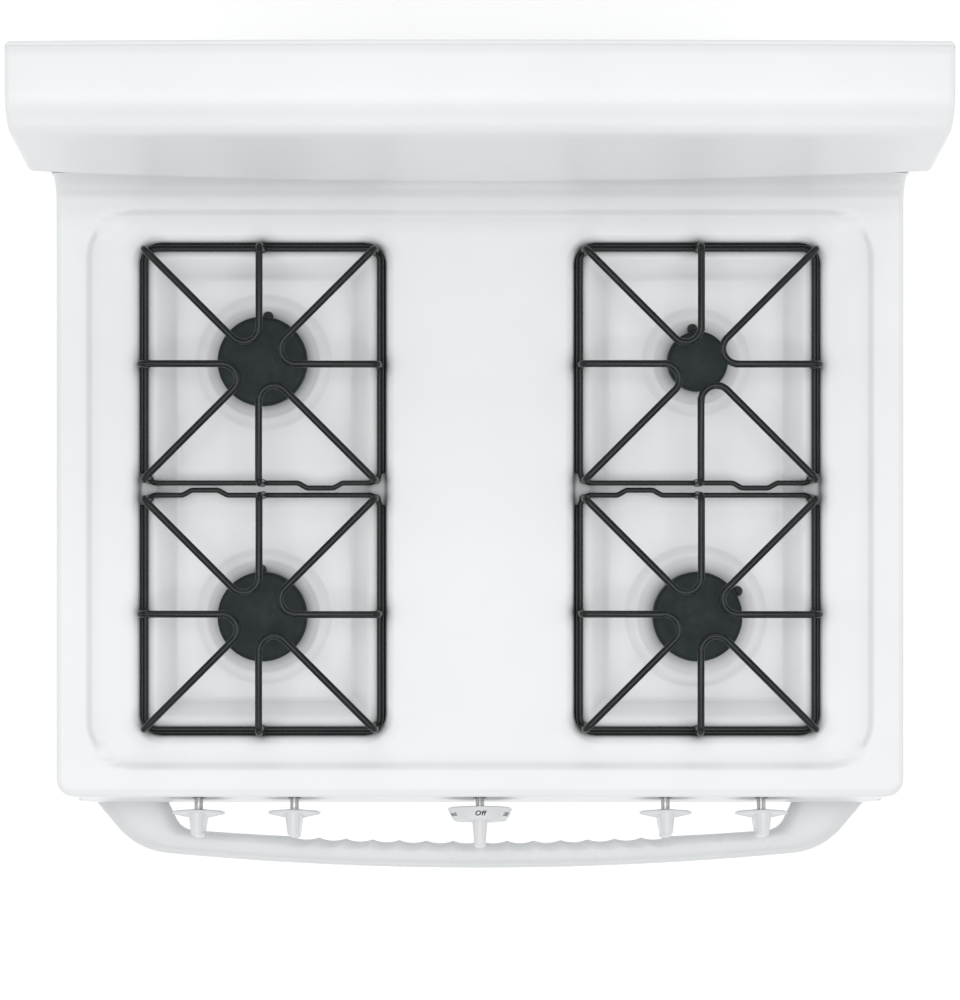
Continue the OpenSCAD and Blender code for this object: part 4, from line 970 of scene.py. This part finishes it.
# ---- soft pieces of the oven
def quilted(lowest, highest, cell=62 * MM):
    """A blanket panel, puffed up between its stitches and soft along its edges."""
    lowest, highest = np.array(lowest), np.array(highest)
    size = highest - lowest
    across = int(np.argmin(size))
    first, second = (axis for axis in range(3) if axis != across)
    edge = size[across] / 2
    lines = []
    for axis in (first, second):
        ends = [edge * t for t in (0, 0.05, 0.2, 0.45, 1)]
        middle = np.linspace(edge, size[axis] - edge, max(int(size[axis] / (cell / 5)), 3))[1:-1]
        lines.append(np.array(ends + list(middle) + [size[axis] - e for e in reversed(ends)]))
    u, v = np.meshgrid(*lines)
    near = np.minimum(np.minimum(u, size[first] - u), np.minimum(v, size[second] - v))
    roundness = np.sqrt(1 - (1 - np.clip(near / edge, 0, 1)) ** 2)
    tuft = np.sqrt(np.abs(np.sin(math.pi * u / cell) * np.sin(math.pi * v / cell)))
    half = edge * roundness * (0.8 + 0.2 * tuft)
    parts = []
    for side in (-1, 1):
        points = np.zeros(u.shape + (3,))
        points[..., first], points[..., second] = lowest[first] + u, lowest[second] + v
        points[..., across] = lowest[across] + edge + side * half
        parts.append((points.reshape(-1, 3), grid_faces(*u.shape)))
    return merge(*parts)


def build_insulation():
    """The fibreglass blanket round the oven, open at the front, under the burner and round the flue."""
    gap, flue = 0.6 * MM, 62 * MM
    (inner_low, inner_high), (outer_low, outer_high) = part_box("oven_liner"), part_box("oven_insulation")
    flue_z = low("flue_duct").z - 4 * MM
    y0, y1, z0 = outer_low.y, outer_high.y, outer_low.z
    panels = [((outer_low.x, y0, inner_high.z + gap), (outer_high.x, y1, outer_high.z))]
    panels += [((outer_low.x, y0, z0), (inner_low.x - gap, y1, inner_high.z)),
               ((inner_high.x + gap, y0, z0), (outer_high.x, y1, inner_high.z))]
    rear = inner_high.y + gap
    panels += [((inner_low.x, rear, z0), (-flue, y1, inner_high.z)),
               ((flue, rear, z0), (inner_high.x, y1, inner_high.z)),
               ((-flue, rear, z0), (flue, y1, flue_z))]
    verts, faces = merge(*[quilted(*panel) for panel in panels])
    blanket = new_piece("oven_blanket", verts, faces, "cabinet", "fibreglass",
                        replaces=("oven_insulation",), flat=60)


def build_gasket():
    """The braided seal round the oven's mouth, squeezed flat."""
    seal_low, seal_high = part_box("door_gasket")
    r, middle = 5 * MM, (seal_low + seal_high) / 2
    flatness = (seal_high.y - seal_low.y) / (2 * r)  # how far the round braid is squeezed
    half = (seal_high - seal_low) / 2
    loop = rounded_loop(half.x - r, half.z - r, 19 * MM, 8, 40)
    verts, faces = tube([(middle.x + a, middle.y, middle.z + b) for a, b in loop], r, 14, closed=True)
    verts = [(x, middle.y + (y - middle.y) * flatness, z) for x, y, z in verts]
    seal = new_piece("oven_door_seal", verts, faces, "cabinet", "gasket_braid",
                     replaces=("door_gasket",), flat=60)


# ---- carried-over pieces
def dress(name, look, bevel=0.5, flat=40):
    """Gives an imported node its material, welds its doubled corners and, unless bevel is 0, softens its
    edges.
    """
    obj = frame["nodes"][name]
    obj.data.materials.clear()
    obj.data.materials.append(LOOKS[look])
    weld = obj.modifiers.new("weld", "WELD")
    weld.merge_threshold = 1e-5
    if bevel:
        soft = obj.modifiers.new("soft_edges", "BEVEL")
        soft.width = bevel * MM
        soft.segments = 2
        soft.limit_method = "ANGLE"
        soft.angle_limit = math.radians(flat)
        soft.harden_normals = True
    return obj


# ---- building
build_cooktop()
for grate in GRATES:
    build_grate(grate)
for cap in CAPS:
    build_cap(cap)
new_piece("burner_head_castings", *merge(*[build_head(cap) for cap in CAPS]), "cabinet", "burner_aluminium",
          replaces=("burner_heads",))
new_piece("spark_electrode_set", *merge(*[build_electrode(CAPS[c], ELECTRODES[c]) for c in CAPS]), "cabinet",
          "black_ceramic", replaces=("spark_electrodes",))
for number, stem_x in enumerate(STEM_XS, 1):
    build_burner_knob(f"knob_{number}", stem_x)
build_oven_knob()
build_scale()
build_handle()
build_backguard()
build_insulation()
build_gasket()

CARRIED = {
    "white_enamel": "left_side_panel right_side_panel front_frame control_panel door_outer_panel "
                    "drawer_front",
    "grey_enamel": "oven_liner oven_floor door_liner drawer_tray broiler_grid",
    "galvanized": "base_frame rear_cover backguard_rear flue_duct",
    "plated_steel": "cover_screws door_hinges stem_1 stem_2 stem_3 stem_4 oven_stem",
    "burner_aluminium": "supply_tubes pressure_regulator",
    "burner_steel": "flame_spreader oven_burner",
    "gas_brass": "burner_valves gas_safety_valve oven_thermostat",
    "gas_pipe": "gas_manifold",
    "black_plastic": "spark_module leg_front_left leg_front_right leg_rear_left leg_rear_right",
    "white_ceramic": "oven_igniter",
    "dark_glass": "door_glass",
    "clear_glass": "door_inner_glass",
    "rack_chrome": "low_rack high_rack",
}
THIN_SHEETS = ("rear_cover", "backguard_rear", "pressure_regulator")
for look, names in CARRIED.items():
    for name in names.split():
        dress(name, look, bevel=0 if name in THIN_SHEETS else 0.5)


# ---- camera, light and floor
EYE_Z = 3.3375  # the eye's height over the floor
LENS = 2.6988  # focal length over the frame's height
SHIFT_Y = -0.0109
FLOOR_HALF = 10.0
camera_data = bpy.data.cameras.new("camera")
camera = bpy.data.objects.new("camera", camera_data)
bpy.context.scene.collection.objects.link(camera)
camera.location = (0, 0, EYE_Z)
camera_data.sensor_fit = "VERTICAL"
camera_data.sensor_height = 36
camera_data.lens = camera_data.sensor_height * LENS
camera_data.shift_y = SHIFT_Y
bpy.context.scene.camera = camera


def lamp(name, place, aim, size, power, tint=(1, 1, 1)):
    """A soft square lamp that faces a point."""
    data = bpy.data.lights.new(name, "AREA")
    data.shape, data.size, data.size_y = "RECTANGLE", size[0], size[1]
    data.energy, data.color = power, tint
    made = bpy.data.objects.new(name, data)
    bpy.context.scene.collection.objects.link(made)
    made.location = place
    made.rotation_euler = (Vector(aim) - Vector(place)).to_track_quat("-Z", "Y").to_euler()


lamp("overhead", (0, -0.2, 4.4), (0, 0, 0.9), (3.4, 2.4), 58)
lamp("left", (-2.7, -0.1, 1.9), (0, 0, 0.8), (2.2, 2.2), 14)
lamp("right", (2.7, -0.1, 1.9), (0, 0, 0.8), (2.2, 2.2), 14)
lamp("front", (0, -3.0, 1.9), (0, 0, 0.95), (2.8, 1.4), 20)
lamp("rear", (0, 2.7, 3.1), (0, 0, 0.9), (3.0, 1.4), 20)
world = bpy.data.worlds.new("room")
world.use_nodes = True
world.node_tree.nodes["Background"].inputs["Color"].default_value = (0.97, 0.985, 1.0, 1)
world.node_tree.nodes["Background"].inputs["Strength"].default_value = 0.42
bpy.context.scene.world = world
bpy.context.scene.view_settings.view_transform = "Standard"

floor_mesh = bpy.data.meshes.new("floor")
floor_lines = np.linspace(-FLOOR_HALF, FLOOR_HALF, 9)
floor_mesh.from_pydata([(x, y, 0) for x in floor_lines for y in floor_lines], [], grid_faces(9, 9))
floor = bpy.data.objects.new("floor", floor_mesh)
bpy.context.scene.collection.objects.link(floor)
finish_of("floor", grey(0.9), grey(0.93), (0.8, 0.9), 60.0, 0.0001, cloud=1.0,
          Emission_Color=(1, 1, 1, 1), Emission_Strength=0.3)
floor_mesh.materials.append(LOOKS["floor"])
